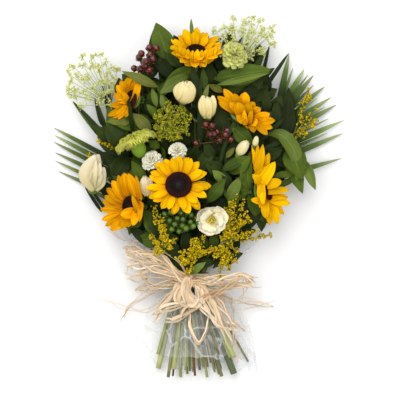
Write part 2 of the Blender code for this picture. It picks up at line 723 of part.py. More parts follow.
def frilled(name):
    """A carnation: frills with toothed, waved edges, one inside the other, as one pleated surface."""
    middle, facing, radius, teeth = CARNATIONS[name]
    rng = random.Random(name)
    count = 2 * teeth
    foot = -radius * 0.5 - 8
    rings = []
    for row, (wide, high, edge) in enumerate(((0.2, None, 0), (0.34, -0.5, 0), (1.0, -0.12, 1), (0.5, -0.02, 0),
                                              (0.9, 0.24, 1), (0.36, 0.18, 0), (0.62, 0.52, 1), (0.2, 0.3, 0),
                                              (0.3, 0.66, 1))):
        ring = []
        for i in range(count):
            angle = 2 * math.pi * i / count
            tooth = 1.0 - 0.2 * edge * ((i + row // 2) % 2) * rng.uniform(0.7, 1.2)
            wave = radius * 0.06 * edge * (1 if (i + row) % 4 < 2 else -1)
            reach = radius * wide * tooth
            level = foot if high is None else radius * high + wave
            ring.append(Vector((reach * math.cos(angle), reach * math.sin(angle), level)))
        rings.append(ring)
    return [placed(skin(rings, tip=UP * (radius * 0.4)), middle, facing)]


def roses(bunch, paths):
    for name in ROSES:
        bunch.add(name + "_bloom", "petal_white" if name.startswith("lis") else "rose_cream", rose_head(name))
    for name in ("rose_left", "rose_mid", "lisianthus"):
        radius, height = ROSES[name][2:4]
        cup = calyx(ROSES, name, height / 2 + 3, radius * 0.42)
        bunch.add(name + "_stem", "stem_green", [stem_solid(name, paths[name]), cup])
    for stem, blooms in (("rose_upper", ("rose_upper_a", "rose_upper_b")),
                         ("lisianthus_spray", ("lisianthus_bud_a", "lisianthus_bud_b"))):
        tops = [(ROSES, bloom, ROSES[bloom][3] / 2 + 3) for bloom in blooms]
        cups = [calyx(ROSES, bloom, depth, ROSES[bloom][2] * 0.5) for table, bloom, depth in tops]
        bunch.add(stem + "_stem", "stem_green", forked(stem, paths[stem], tops) + cups)


def carnations(bunch, paths):
    for name in CARNATIONS:
        bunch.add(name + "_bloom", "petal_white" if name.startswith("spray") else "petal_lime", frilled(name))
    for name in ("carnation_left", "carnation_top"):
        radius = CARNATIONS[name][2]
        cup = calyx(CARNATIONS, name, radius * 0.5 + 11, radius * 0.26)
        bunch.add(name + "_stem", "stem_green", [stem_solid(name, paths[name]), cup])
    blooms = ("spray_carnation_a", "spray_carnation_b")
    tops = [(CARNATIONS, bloom, CARNATIONS[bloom][2] * 0.5 + 11) for bloom in blooms]
    cups = [calyx(CARNATIONS, bloom, depth, 4) for table, bloom, depth in tops]
    name = "spray_carnation"
    bunch.add(name + "_stem", "stem_green", forked(name, paths[name], tops) + cups)


# Sprays

def twig(start, end, radius):
    """A thin three-sided twig that narrows to its end."""
    start, end = Vector(start), Vector(end)
    return tube([start, end], [radius, radius * 0.7], 3)


def berries(bunch, name, path, slot):
    solids = [stem_solid(name, path), ball(path[-1], 3.6)]
    for middle in BERRIES[name]:
        middle = Vector(middle)
        solids.append(twig(path[-1], middle, 1.3))
        solids.append(ball(middle, BERRY_RADIUS, 1.15, 5))
    bunch.add(name, slot, solids)


def plume(bunch, name, path):
    """Goldenrod: beaded flowering twigs from the top of the stem."""
    rng = random.Random(name)
    solids = [stem_solid(name, path), ball(path[-1], 4.0)]
    for tip in PLUMES[name]:
        route = arched(path[-1], Vector(tip), 3, 6)
        radii = [1.3, 1.3]
        for i in range(2, 7):
            radii.append((1.9 if i % 2 else 4.8) * (1 - 0.05 * i) * rng.uniform(0.85, 1.15))
        solids.append(tube(route, radii, 4))
    bunch.add(name, "goldenrod_yellow", solids)


def froth(bunch, name, path):
    """An umbel, or lady's mantle: fine rays from the top of the stem, with a knot of florets on each."""
    middle, half, heads = FROTH[name]
    rng = random.Random(name)
    solids = [stem_solid(name, path), ball(path[-1], 3.4)]
    for i in range(heads):
        spread = math.sqrt((i + 0.5) / heads)
        angle = i * 2.39996
        head = Vector(middle) + Vector((
            half[0] * spread * math.cos(angle),
            half[1] * spread * math.sin(angle),
            half[2] * (1 - spread * spread) * rng.uniform(0.5, 1.2),
        ))
        solids.append(twig(path[-1], head - (head - path[-1]).normalized() * 1.5, 1.2))
        knot = [(0, -3), (7, -1.5), (10, 1.5), (5, 4.5), (0, 4.5)]
        size = rng.uniform(0.85, 1.15)
        knot = [(radius * size, height * size) for radius, height in knot]
        solids.append(placed(turned(knot, 5, relief=1.3), head, head - path[-1] + UP * 30))
    bunch.add(name, "froth_lime", solids)


def palm(bunch, name, path):
    """A palm frond: narrow pointed leaflets from both sides of its rib."""
    solids = [stem_solid(name, path)]
    for tip, share in PALM_TIPS[name]:
        root = along(path, share)
        tip = Vector(tip)
        route = arched(root, tip, 2, 4)
        across = (tip - root).cross(UP).normalized()
        wide = across * LEAFLET_HALF_WIDTH
        outline = [root + wide * 0.25, route[1] + wide, route[3] + wide * 0.55, tip,
                   route[3] - wide * 0.55, route[1] - wide, root - wide * 0.25]
        solids.append(flake(outline, route[2] + UP * 0.4, across.cross(tip - root).normalized(), 1.4))
    bunch.add(name, "palm_green", solids)


def leaf(start, tip, half_width, arch, spare=0.0):
    """A broad leaf on a short stalk, with a waved edge. Spare makes it larger all round."""
    route = arched(start, tip, arch, 6)
    across = (tip - start).cross(UP).normalized()
    sides = ((0, 1.0, 0), (1, 1.2, 0), (3, half_width, 1.5), (5, half_width * 0.62, 3.0))
    right = [route[step] + across * (wide + spare) + UP * lift for step, wide, lift in sides]
    left = [route[step] - across * (wide + spare) + UP * (3.0 - lift if lift else 0) for step, wide, lift in sides]
    face = across.cross(tip - start).normalized()
    if spare:
        tip = tip + (tip - start).normalized() * spare
    return flake([*right, tip, *reversed(left)], route[3], face, 1.6 + 2 * spare)


def leaf_choices(path, tip, half_width, arch, back):
    """A leaf as wished, then ones that are turned, lifted or narrower."""
    start = along(path, 0.995 - back)
    for size in (1.0, 0.8):
        for turn in (0, 7, -7, 14, -14, 21, -21):
            for lift in (0, 5, -5, 10, -10, 16, -16, 22, -22):
                reach = Matrix.Rotation(math.radians(turn), 3, UP) @ (Vector(tip) - start) * (0.6 + 0.4 * size)
                end = start + reach
                end.z = max(end.z + lift, 3)
                yield start, end, half_width * size, arch


def fit_leaf(bunch, node, slot, choices, wanted):
    """Adds the first of the choices that is clear of every other node and leaf, or at least of the nodes."""
    choices = list(choices)
    for own_too in (True, False) if wanted else (True,):
        for start, end, half_width, arch in choices:
            if not bunch.crosses(node, leaf(start, end, half_width, arch, spare=LEAF_GAP), own_too):
                bunch.add(node, slot, [leaf(start, end, half_width, arch)])
                return


def leafy_node(host):
    if host in SUNFLOWERS:
        return host + "_green"
    return host + "_stem" if host in ROSES else host


def fill_wishes(paths):
    """The leaves that could fill the gaps: for each point, one from the nearest stem that carries leaves."""
    for row, (y, left, right) in enumerate(FILL_ROWS):
        count = int((right - left) / FILL_STEP)
        for i in range(count + 1):
            x = left + (right - left) * (i + 0.5 * (row % 2)) / (count + 0.5)
            spot = Vector((x, y, 0))
            best = None
            for host in FILL_HOSTS:
                for step in range(4, 40):
                    share = step / 40
                    start = along(paths[host], share)
                    flat = (start - spot).xy.length
                    lag = abs(flat - 32) + (20 if start.y > y else 0)
                    if best is None or lag < best[0]:
                        best = (lag, host, share, start)
            lag, host, share, start = best
            outward = (spot - start).xy.normalized().to_3d()
            tip = spot + outward * 26
            tip.z = max(start.z + 4, 24)
            yield spot, host, (paths[host], tip, 14.5, 7, 0.995 - share)


def leaves(bunch, paths):
    """The leaves that show in front, then leaves that fill the gaps between the stems."""
    for host in LEAVES:
        node = leafy_node(host)
        for tip, half_width, arch, back in LEAVES[host]:
            choices = leaf_choices(paths[host], tip, half_width, arch, back)
            fit_leaf(bunch, node, bunch.slots[node], choices, wanted=True)
    for spot, host, wish in fill_wishes(paths):
        if bunch.top_at(spot.x, spot.y) < OPEN_BELOW:
            node = leafy_node(host)
            fit_leaf(bunch, node, bunch.slots[node], leaf_choices(*wish), wanted=False)


# Tie and wrap

def hoop(half_width, height, corner, runs):
    """Points round a box section with round corners, from the left of the top, down, and back."""
    points = []
    arc = 2
    middles = ((-1, 1, 90), (-1, 0, 180), (1, 0, 270), (1, 1, 0))
    for side, level, start in middles:
        centre = Vector((side * (half_width - corner), corner + level * (height - 2 * corner)))
        turns = [math.radians(start + 90 * i / arc) for i in range(arc + 1)]
        points.append([centre + Vector((math.cos(a), math.sin(a))) * corner for a in turns])
    around = []
    for this, after in zip(points, points[1:] + points[:1]):
        around += this
        around += [this[-1].lerp(after[0], i / runs) for i in range(1, runs)]
    return around


def raffia_band(bunch, half_width, height):
    """Three wraps of raffia pressed into one band, flat underneath."""
    profile = ((-8, 0), (-8, 1.6), (-3.2, 1.6), (-2.7, 0.9), (-2.2, 1.6), (2.2, 1.6), (2.7, 0.9), (3.2, 1.6),
               (8, 1.6), (8, 0))
    rings = []
    for along, out in profile:
        grown = hoop(half_width + out, height + 2 * out, BAND_CORNER + out, 1)
        rings.append([Vector((TIE.x + p.x, TIE.y + along * BAND_WIDTH / 16, p.y + BAND_THICK - out)) for p in grown])
    size = len(rings[0])
    points = [point for ring in rings for point in ring]
    faces = []
    for r in range(len(rings)):
        for i in range(size):
            a = r * size + i
            b = r * size + (i + 1) % size
            e = (r + 1) % len(rings) * size
            faces.append((a, b, e + (i + 1) % size, e + i))
    bunch.add("raffia_band", "raffia_straw", [(points, faces)])


def raffia_bow(bunch, height):
    """The knot on the band, with loops and tails of raffia."""
    middle = TIE + UP * (height + BAND_THICK * 2 + GAP + KNOT_DEPTH)
    knot = turned([(0, -KNOT_DEPTH), (9, -5), (12, 0), (9, 5), (0, 6.5)], 9, relief=0.8)
    solids = [placed(knot, middle, UP)]
    for strip in STRIPS:
        route = through((middle, *strip), 2)
        widths = [RAFFIA_HALF_WIDTH * (1.0 if i % 2 else 0.86) for i in range(len(route))]
        solids.append(blade(route, widths, UP, RAFFIA_THICK))
    bunch.add("raffia_bow", "raffia_straw", solids)


# Cellophane: distance along, flat half width, spread and height of the sides, reach of the corners
WRAP = (
    (-284, 94, 10, 14, -6),
    (-236, 88, 14, 20, 0),
    (-190, 76, 16, 26, 0),
    (-158, 56, 12, 34, 0),
    (-141, None, 0, None, 0),
    (-119, None, 0, None, 0),
    (-104, 70, 10, 34, 0),
    (-82, 100, 16, 28, 8),
    (-60, 126, 18, 20, 24),
)


def cellophane(bunch, half_width, height):
    """The clear wrap: flat on the table, gathered through the band, with its sides turned up."""
    inner = hoop(half_width - GAP - FILM_THICK / 2, height - GAP * 2 - FILM_THICK, BAND_CORNER - GAP, 2)
    column = inner[2:-2]
    rows = []
    for y, flat, spread, rise, point in WRAP:
        row = []
        for i, p in enumerate(column):
            across = p.x / half_width
            level = p.y / height
            if flat is None:
                spot = (TIE.x + p.x, y, BAND_THICK + GAP + FILM_THICK / 2 + p.y)
            else:
                side = 1 if across > 0 else -1
                lean = FAN_LEAN * max((TIE.y - y) / (TIE.y - CUT_Y), 0)
                spot = (
                    TIE.x + lean + across * flat + side * level * spread,
                    y + point * abs(across),
                    FILM_THICK / 2 + 0.1 + level * rise,
                )
            row.append(Vector(spot))
        rows.append(row)
    bunch.add("cellophane_wrap", "cellophane_clear", [sheet(rows, FILM_THICK)])


def centre_objects():
    """Moves everything so that the origin is under the middle of the bunch, on the table."""
    corners = [
        vertex.co for body in bpy.context.scene.objects for vertex in body.data.vertices
    ]
    low = Vector([min(corner[i] for corner in corners) for i in range(3)])
    high = Vector([max(corner[i] for corner in corners) for i in range(3)])
    shift = Vector(((low.x + high.x) / 2, (low.y + high.y) / 2, low.z))
    for body in bpy.context.scene.objects:
        body.data.transform(Matrix.Translation(-shift))


def build():
    for old in list(bpy.data.objects):
        bpy.data.objects.remove(old)
    bunch = Bunch()
    slots, half_width, top = nest()
    paths = lay_stems(slots)
    for name in SUNFLOWERS:
        sunflower(bunch, name, paths[name])
    roses(bunch, paths)
    carnations(bunch, paths)
    half_width += GAP * 3 + FILM_THICK
    height = top - STEM_GAP + GAP - BAND_THICK
    raffia_band(bunch, half_width, height)
    raffia_bow(bunch, height)
    cellophane(bunch, half_width, height)
    for name in PALM_TIPS:
        palm(bunch, name, paths[name])
    for name in FROTH:
        froth(bunch, name, paths[name])
    for name in PLUMES:
        plume(bunch, name, paths[name])
    for name in BERRIES:
        berries(bunch, name, paths[name], "berry_green" if name.endswith("green") else "berry_red")
    for name in LEAVES:
        if name.startswith("greens"):
            bunch.add(name, "leaf_green", [stem_solid(name, paths[name])])
    leaves(bunch, paths)
    bunch.fuse_all()
    centre_objects()


build()
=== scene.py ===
"""Looks of the flower sheaf: every CAD node gets finer pieces of its own form, on the same stems and tips.

X runs across the bunch, +Y from the cut ends to the blooms, and +Z up from the table. Lengths are in
millimetres, measured from the middle of the photographed field, and each mesh is made in metres.
"""

import math
import random

import bpy
from mathutils import Matrix, Vector, noise
from mathutils.kdtree import KDTree


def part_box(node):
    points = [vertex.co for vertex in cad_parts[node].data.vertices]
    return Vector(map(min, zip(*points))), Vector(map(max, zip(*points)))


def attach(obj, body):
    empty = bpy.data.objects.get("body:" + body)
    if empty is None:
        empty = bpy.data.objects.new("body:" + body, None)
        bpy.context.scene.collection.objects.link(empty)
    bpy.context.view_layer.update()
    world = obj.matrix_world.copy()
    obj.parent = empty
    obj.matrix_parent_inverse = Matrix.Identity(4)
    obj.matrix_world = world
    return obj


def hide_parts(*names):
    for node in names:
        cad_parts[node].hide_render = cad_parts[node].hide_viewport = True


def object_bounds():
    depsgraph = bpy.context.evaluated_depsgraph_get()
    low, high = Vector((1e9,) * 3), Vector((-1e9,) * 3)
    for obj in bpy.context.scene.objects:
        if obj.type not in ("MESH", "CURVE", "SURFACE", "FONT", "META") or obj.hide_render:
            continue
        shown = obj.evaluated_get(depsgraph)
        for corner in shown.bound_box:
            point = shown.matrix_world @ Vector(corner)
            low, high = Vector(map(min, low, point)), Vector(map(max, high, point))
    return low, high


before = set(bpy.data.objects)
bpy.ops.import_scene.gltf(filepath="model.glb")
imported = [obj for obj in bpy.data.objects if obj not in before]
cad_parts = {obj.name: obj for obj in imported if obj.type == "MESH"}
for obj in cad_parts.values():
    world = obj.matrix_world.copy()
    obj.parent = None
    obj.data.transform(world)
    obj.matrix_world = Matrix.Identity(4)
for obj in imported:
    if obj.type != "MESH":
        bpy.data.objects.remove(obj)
cad_box = [list(corner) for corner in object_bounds()]

MM = 0.001
UP = Vector((0, 0, 1))

# The tie
TIE = Vector((-16.5, -130, 0))
BAND_WIDTH = 16.0
BAND_THICK = 1.6
BAND_CORNER = 8.0
FILM_THICK = 0.8
GAP = 0.4
STEM_GAP = 0.4
FLAT_TOP = 0.6
THIN_STEM = 3.5
CLEAR = 0.3
LEAF_GAP = 0.4
TIE_STRAIGHT = 12.5
CUT_Y = -287.0
FAN_OUT = 2.9
LOW_FAN_OUT = 1.9
FAN_LEAN = 14.0

# Height of the lowest stems: band, film and a gap on either side of the film
BED = BAND_THICK + GAP + FILM_THICK + GAP

# Sunflowers: middle of the disc, facing, radius of the ray tips, disc radius, cup of the rays, rays
SUNFLOWERS = {
    "sunflower_top": ((-7, 245, 80), (0, 0.68, 0.73), 43, 17, 34, 16),
    "sunflower_upper_left": ((-113, 167, 78), (-0.84, 0.1, 0.52), 40, 15, 38, 14),
    "sunflower_lower_left": ((-121, -8, 82), (-0.7, -0.06, 0.71), 46, 18, 30, 16),
    "sunflower_centre": ((-35, 25, 114), (0, 0.26, 0.966), 52, 22, 12, 18),
    "sunflower_upper_right": ((68, 142, 86), (0.55, 0.73, 0.40), 52, 18, 38, 16),
    "sunflower_right": ((104, 16, 84), (0.90, 0.05, 0.43), 56, 18, 34, 16),
}

# Roses and the lisianthus: middle of the bloom, facing, radius, height, petals in each layer, opening
ROSES = {
    "rose_left": ((-172, 40, 62), (-0.75, 0.1, 0.65), 26, 46, (4, 5), 0.35),
    "rose_upper_a": ((-25, 176, 98), (-0.1, 0.3, 0.95), 15, 30, (3, 4), 0.15),
    "rose_upper_b": ((10, 152, 92), (0.25, 0.4, 0.88), 15, 30, (3, 4), 0.15),
    "rose_mid": ((-88.8, 32, 83.6), (-0.2, 0.25, 0.95), 12, 28, (3, 3), 0.1),
    "lisianthus": ((21, -31, 92), (0.1, -0.05, 0.99), 23, 24, (6,), 0.9),
    "lisianthus_bud_a": ((69, 84, 92), (0.1, 0.6, 0.79), 8, 24, (3,), 0.0),
    "lisianthus_bud_b": ((92, 92, 88), (0.35, 0.6, 0.72), 6, 20, (3,), 0.0),
}

# Carnations: middle of the frill, facing, radius, teeth round half the frill
CARNATIONS = {
    "carnation_left": ((-104, 102, 88), (-0.25, 0.85, 0.46), 32, 8),
    "carnation_top": ((50, 241, 76), (0.2, 0.5, 0.85), 20, 7),
    "spray_carnation_a": ((-82, 67, 92), (-0.2, 0.2, 0.96), 15, 6),
    "spray_carnation_b": ((-36, 88, 94), (0.1, 0.5, 0.86), 14, 6),
}

# Rows of stems at the tie, lowest row first, each from left to right
ROWS = (
    ("palm_left", "umbel_left", "greens_upper_left", "palm_centre", "umbel_top", "palm_right",
     "greens_right"),
    ("sunflower_upper_left", "hypericum_left", "sunflower_top", "carnation_top", "greens_upper_right",
     "sunflower_upper_right", "goldenrod_right"),
    ("rose_left", "sunflower_lower_left", "greens_left", "carnation_left", "ladys_mantle",
     "rose_upper", "sunflower_right"),
    ("rose_mid", "spray_carnation", "sunflower_centre", "hypericum_centre", "greens_centre",
     "lisianthus_spray"),
    ("greens_lower", "goldenrod_left", "hypericum_green", "goldenrod_centre", "lisianthus",
     "goldenrod_lower_right"),
)

# Stem radius at the tie, and at the top
STEM_RADII = {"sunflower": (6.0, 4.6), "rose": (3.2, 2.4), "carnation": (2.4, 1.8), "palm": (2.4, 1.4)}
SPRAY_RADII = (2.2, 1.5)

# Where the stems of the sprays and of the leafy stems end, and the way they point there
STEM_ENDS = {
    "palm_left": ((-150, 92, 7), (-0.4, 0.9, 0.0)),
    "palm_right": ((128, 140, 9), (0.5, 0.85, 0.0)),
    "palm_centre": ((52, 205, 12), (0.25, 0.97, 0.0)),
    "umbel_left": ((-150, 160, 20), (-0.5, 0.8, 0.3)),
    "umbel_top": ((66, 232, 20), (0.2, 0.9, 0.3)),
    "greens_upper_left": ((-66, 214, 44), (-0.1, 0.8, 0.6)),
    "greens_upper_right": ((28, 200, 48), (0.2, 0.7, 0.7)),
    "greens_right": ((146, 96, 30), (0.5, 0.8, 0.4)),
    "greens_left": ((-122, 84, 50), (-0.3, 0.7, 0.65)),
    "greens_centre": ((46, 44, 62), (0.2, 0.5, 0.85)),
    "greens_lower": ((-66, -62, 66), (-0.4, 0.5, 0.77)),
    "goldenrod_right": ((150, 92, 30), (0.4, 0.9, 0.1)),
    "goldenrod_left": ((-60, -78, 76), (-0.3, 0.6, 0.7)),
    "goldenrod_centre": ((-6, -96, 70), (0.1, 0.7, 0.7)),
    "goldenrod_lower_right": ((34, -72, 72), (0.5, 0.5, 0.7)),
    "hypericum_left": ((-92, 212, 60), (-0.1, 0.6, 0.8)),
    "hypericum_centre": ((22, 96, 72), (0.1, 0.3, 0.95)),
    "hypericum_green": ((-26, -52, 74), (0.0, 0.4, 0.9)),
    "ladys_mantle": ((-46, 108, 60), (0.0, 0.3, 0.95)),
    "rose_upper": ((-8, 132, 60), (0.0, 0.6, 0.8)),
    "spray_carnation": ((-58, 56, 62), (0.0, 0.5, 0.87)),
    "lisianthus_spray": ((74, 58, 66), (0.1, 0.7, 0.7)),
}

# Leaves: tip, half width, arch, and how far back along the stem the leaf starts
LEAVES = {
    "greens_upper_left": (((-73, 292, 40), 15, 14, 0.0), ((-134, 208, 96), 13, 14, 0.03),
                          ((-56, 254, 56), 9, 8, 0.06), ((-58, 172, 66), 9, 8, 0.09),
                          ((-90, 158, 56), 8, 6, 0.12)),
    "greens_upper_right": (((116, 217, 60), 17, 10, 0.0), ((88, 186, 50), 12, 8, 0.04),
                           ((20, 170, 66), 9, 8, 0.08), ((2, 206, 58), 8, 6, 0.12)),
    "greens_right": (((170, 34, 44), 18, 26, 0.0), ((190, 20, 12), 13, 14, 0.04),
                     ((158, 4, 8), 9, 10, 0.08), ((122, 92, 40), 10, 8, 0.12)),
    "greens_left": (((-158, 126, 52), 14, 12, 0.0), ((-82, 144, 60), 11, 8, 0.03),
                    ((-146, 30, 50), 15, 14, 0.06), ((-98, 26, 56), 14, 10, 0.09),
                    ((-70, 88, 58), 12, 8, 0.12), ((-152, 78, 40), 12, 8, 0.15)),
    "greens_centre": (((84, 72, 66), 13, 8, 0.0), ((8, 62, 72), 12, 8, 0.03),
                      ((62, -8, 62), 13, 10, 0.09), ((20, 2, 66), 11, 8, 0.12),
                      ((100, -40, 46), 12, 10, 0.22), ((66, 112, 66), 12, 8, 0.06)),
    "greens_lower": (((-92, -16, 52), 13, 8, 0.0), ((-104, -66, 52), 13, 8, 0.05),
                     ((-56, -26, 66), 12, 8, 0.1), ((-34, -62, 62), 10, 6, 0.15)),
    "sunflower_top": (((-66, 176, 78), 13, 10, 0.05), ((38, 196, 54), 11, 8, 0.1)),
    "sunflower_centre": (((-84, 40, 78), 14, 8, 0.05), ((10, 36, 76), 12, 8, 0.08)),
    "sunflower_right": (((74, 66, 70), 12, 10, 0.06), ((118, -40, 36), 13, 10, 0.1)),
    "sunflower_upper_right": (((86, 92, 44), 13, 10, 0.06),),
    "sunflower_lower_left": (((-96, 38, 56), 11, 8, 0.06), ((-118, -58, 40), 12, 8, 0.1)),
}

# Where leaves fill the gaps: rows across the bunch, each with its left and its right end
FILL_ROWS = (
    (-92, -50, 20), (-64, -82, 58), (-36, -118, 92), (-8, -146, 128), (20, -150, 150), (48, -146, 158),
    (76, -150, 160), (104, -148, 160), (132, -144, 140), (160, -138, 122), (188, -124, 104), (216, -100, 76),
)
FILL_STEP = 30.0
OPEN_BELOW = 14.0
FILL_HOSTS = ("greens_upper_left", "greens_upper_right", "greens_right", "greens_left", "greens_centre",
              "greens_lower", "sunflower_top", "sunflower_upper_left", "sunflower_lower_left",
              "sunflower_centre", "sunflower_upper_right", "sunflower_right", "rose_left")

# Palm leaflets: tips of each frond, with the share of the frond at which each starts
PALM_TIPS = {
    "palm_left": (((-247, 122, 6), 0.80), ((-245, 109, 2), 0.72), ((-247, 98, 5), 0.66),
                  ((-244, 80, 2), 0.60), ((-244, 66, 5), 0.52), ((-238, 48, 2), 0.46),
                  ((-213, 163, 16), 0.90), ((-176, 172, 12), 1.0), ((-193, 20, 2), 0.40)),
    "palm_right": (((150, 246, 9), 1.0), ((175, 220, 4), 0.96), ((191, 210, 9), 0.90),
                   ((210, 191, 4), 0.84), ((221, 173, 9), 0.78), ((229, 160, 4), 0.72),
                   ((242, 134, 9), 0.66), ((240, 112, 3), 0.58), ((238, 70, 7), 0.50)),
    "palm_centre": (((-4, 196, 26), 0.70), ((66, 266, 12), 1.0), ((82, 268, 6), 0.97),
                    ((96, 254, 12), 0.92), ((118, 256, 5), 0.86), ((26, 262, 8), 0.94)),
}
LEAFLET_HALF_WIDTH = 5.2

# Berries: middles of the berries of each spray
BERRIES = {
    "hypericum_left": ((-84, 252, 70), (-97, 242, 76), (-78, 232, 84), (-101, 236, 66),
                       (-109, 218, 72), (-99, 216, 82), (-83, 214, 84), (-90, 228, 88)),
    "hypericum_centre": ((8, 124, 90), (20, 122, 97), (16, 108, 98), (28, 112, 90), (44, 114, 92),
                         (32, 98, 96), (50, 100, 88), (-6, 94, 90)),
    "hypericum_green": ((-48, -20, 84), (-36, -16, 88), (-49, -34, 88), (-37, -30, 93), (-22, -22, 87),
                        (-29, -42, 92), (-6, -30, 84), (-16, -36, 90)),
}
BERRY_RADIUS = 5.4

# Goldenrod: tips of the flowering twigs of each plume
PLUMES = {
    "goldenrod_left": ((-75, -12, 80), (-62, -40, 86), (-82, -62, 72), (-72, -88, 80), (-44, -66, 84)),
    "goldenrod_centre": ((-30, -84, 80), (-14, -66, 86), (6, -62, 82), (20, -80, 76), (-28, -106, 78)),
    "goldenrod_lower_right": ((47, -6, 82), (58, 4, 74), (78, -26, 74), (114, -58, 52), (62, -82, 60),
                              (50, -112, 48)),
    "goldenrod_right": ((182, 182, 26), (190, 150, 34), (178, 122, 32), (168, 138, 38)),
}

# Umbels and lady's mantle: middle of the froth, its half sizes, and its heads
FROTH = {
    "umbel_left": ((-178, 200, 34), (48, 44, 14), 7),
    "umbel_top": ((76, 272, 34), (54, 36, 12), 7),
    "ladys_mantle": ((-46, 127, 84), (26, 28, 10), 7),
}

# Raffia: each strip through its points, as seen from above, with heights
RAFFIA_HALF_WIDTH = 3.0
RAFFIA_THICK = 0.9
STRIPS = (
    ((-50, -116, 68), (-92, -92, 62), (-112, -114, 56), (-66, -134, 62)),
    ((-54, -104, 76), (-86, -64, 66), (-118, -48, 56), (-146, -52, 46)),
    ((-58, -142, 58), (-104, -158, 36), (-152, -170, 20)),
    ((-46, -150, 60), (-92, -184, 40), (-129, -206, 24)),
    ((16, -122, 68), (62, -116, 60), (92, -134, 54), (52, -150, 58)),
    ((12, -140, 66), (58, -162, 58), (84, -186, 53), (62, -202, 56), (30, -188, 62)),
    ((-30, -156, 66), (-46, -190, 62), (-22, -204, 62), (-8, -168, 65)),
    ((0, -156, 66), (22, -190, 62), (6, -230, 60), (-10, -238, 60)),
    ((8, -150, 66), (34, -200, 60), (74, -270, 56)),
    ((-6, -158, 66), (14, -206, 66), (38, -246, 64)),
)

# Cellophane: distance along, flat half width, spread and height of the sides, reach of the corners
WRAP = (
    (-284, 94, 10, 14, -6),
    (-236, 88, 14, 20, 0),
    (-190, 76, 16, 26, 0),
    (-158, 56, 12, 34, 0),
    (-141, None, 0, None, 0),
    (-119, None, 0, None, 0),
    (-104, 70, 10, 34, 0),
    (-82, 100, 16, 28, 8),
    (-60, 126, 18, 20, 24),
)


# Curves

def bezier(p0, p1, p2, p3, count):
    """Points along a cubic curve, ends included."""
    points = []
    for i in range(count + 1):
        t = i / count
        s = 1 - t
        points.append(p0 * s**3 + p1 * (3 * s * s * t) + p2 * (3 * s * t * t) + p3 * t**3)
    return points


def through(points, count):
    """A smooth curve through the given points, with the same count of steps between each two."""
    points = [Vector(point) for point in points]
    padded = [points[0] * 2 - points[1], *points, points[-1] * 2 - points[-2]]
    smooth = []
    for a, b, c, d in zip(padded, padded[1:], padded[2:], padded[3:]):
        for i in range(count):
            t = i / count
            smooth.append(
                (b * 2 + (c - a) * t + (a * 2 - b * 5 + c * 4 - d) * t**2 + (b * 3 - a - c * 3 + d) * t**3) / 2
            )
    smooth.append(points[-1])
    return smooth


def arched(start, tip, arch, count):
    """A curve from start to tip that rises by about arch between them."""
    middle = (start + tip) / 2 + UP * (arch * 2)
    return [
        start * (1 - i / count)**2 + middle * (2 * i / count * (1 - i / count)) + tip * (i / count)**2
        for i in range(count + 1)
    ]


def tangents(path):
    last = len(path) - 1
    return [(path[min(i + 1, last)] - path[max(i - 1, 0)]).normalized() for i in range(last + 1)]


def placed(solid, middle, facing):
    """Turns a solid's +Z to facing, with its +X level, and moves it to middle."""
    facing = Vector(facing).normalized()
    level = Vector((-facing.y, facing.x, 0))
    level = level.normalized() if level.length > 1e-4 else Vector((1, 0, 0))
    turn = Matrix((level, facing.cross(level), facing)).transposed()
    points, faces = solid
    return [turn @ point + Vector(middle) for point in points], faces


# Stems

def stem_radii(name):
    for kind, radii in STEM_RADII.items():
        if name.startswith(kind) or (kind in name and kind == "carnation"):
            return radii
    return SPRAY_RADII


def nest():
    """Where each stem crosses the tie: side by side in rows, each row on the one below."""
    slots = {}
    half_width = 0.0
    height = BED
    for row in ROWS:
        radii = [stem_radii(name)[0] for name in row]
        width = 2 * sum(radii) + STEM_GAP * (len(row) - 1)
        half_width = max(half_width, width / 2)
        x = TIE.x - width / 2
        for name, radius in zip(row, radii):
            slots[name] = Vector((x + radius, TIE.y, height + radius))
            x += 2 * radius + STEM_GAP
        height += 2 * max(radii) + STEM_GAP - (FLAT_TOP if max(radii) > THIN_STEM else 0)
    return slots, half_width, height


def raised(path, radius, laid):
    """Lifts a stem's path where it would cross a stem that is already there. Its ends stay."""
    steps = 8
    for _ in range(12):
        for i in range(len(path) - 1):
            for step in range(steps):
                share = step / steps
                point = path[i].lerp(path[i + 1], share)
                lift = 0.0
                for other, other_radius in laid:
                    reach = radius + other_radius + CLEAR
                    for a, b in zip(other, other[1:]):
                        run = (b - a).xy
                        along = (point - a).xy.dot(run) / max(run.length_squared, 1e-9)
                        near = a.lerp(b, min(max(along, 0), 1))
                        flat = (point - near).xy.length
                        if flat < reach and abs(point.z - near.z) < reach:
                            lift = max(lift, near.z + math.sqrt(reach**2 - flat**2) - point.z)
                if lift > 0.05:
                    lift = min(lift, 2.0) / ((1 - share)**2 + share**2)
                    if i > 0:
                        path[i].z += lift * (1 - share)
                    if i + 1 < len(path) - 1:
                        path[i + 1].z += lift * share
    return path


def stem_top(name):
    """Where a stem ends, which way it points there, and how long its last bend is."""
    if name in SUNFLOWERS:
        middle, facing = SUNFLOWERS[name][:2]
        facing = Vector(facing).normalized()
        return Vector(middle) - facing * 14, facing, 60
    if name in ROSES:
        middle, facing, radius, height = ROSES[name][:4]
        facing = Vector(facing).normalized()
        return Vector(middle) - facing * (height * 0.5 + 3), facing, 40
    if name in CARNATIONS:
        middle, facing, radius = CARNATIONS[name][:3]
        facing = Vector(facing).normalized()
        return Vector(middle) - facing * (radius * 0.5 + 14), facing, 40
    end, facing = STEM_ENDS[name]
    return Vector(end), Vector(facing).normalized(), 40


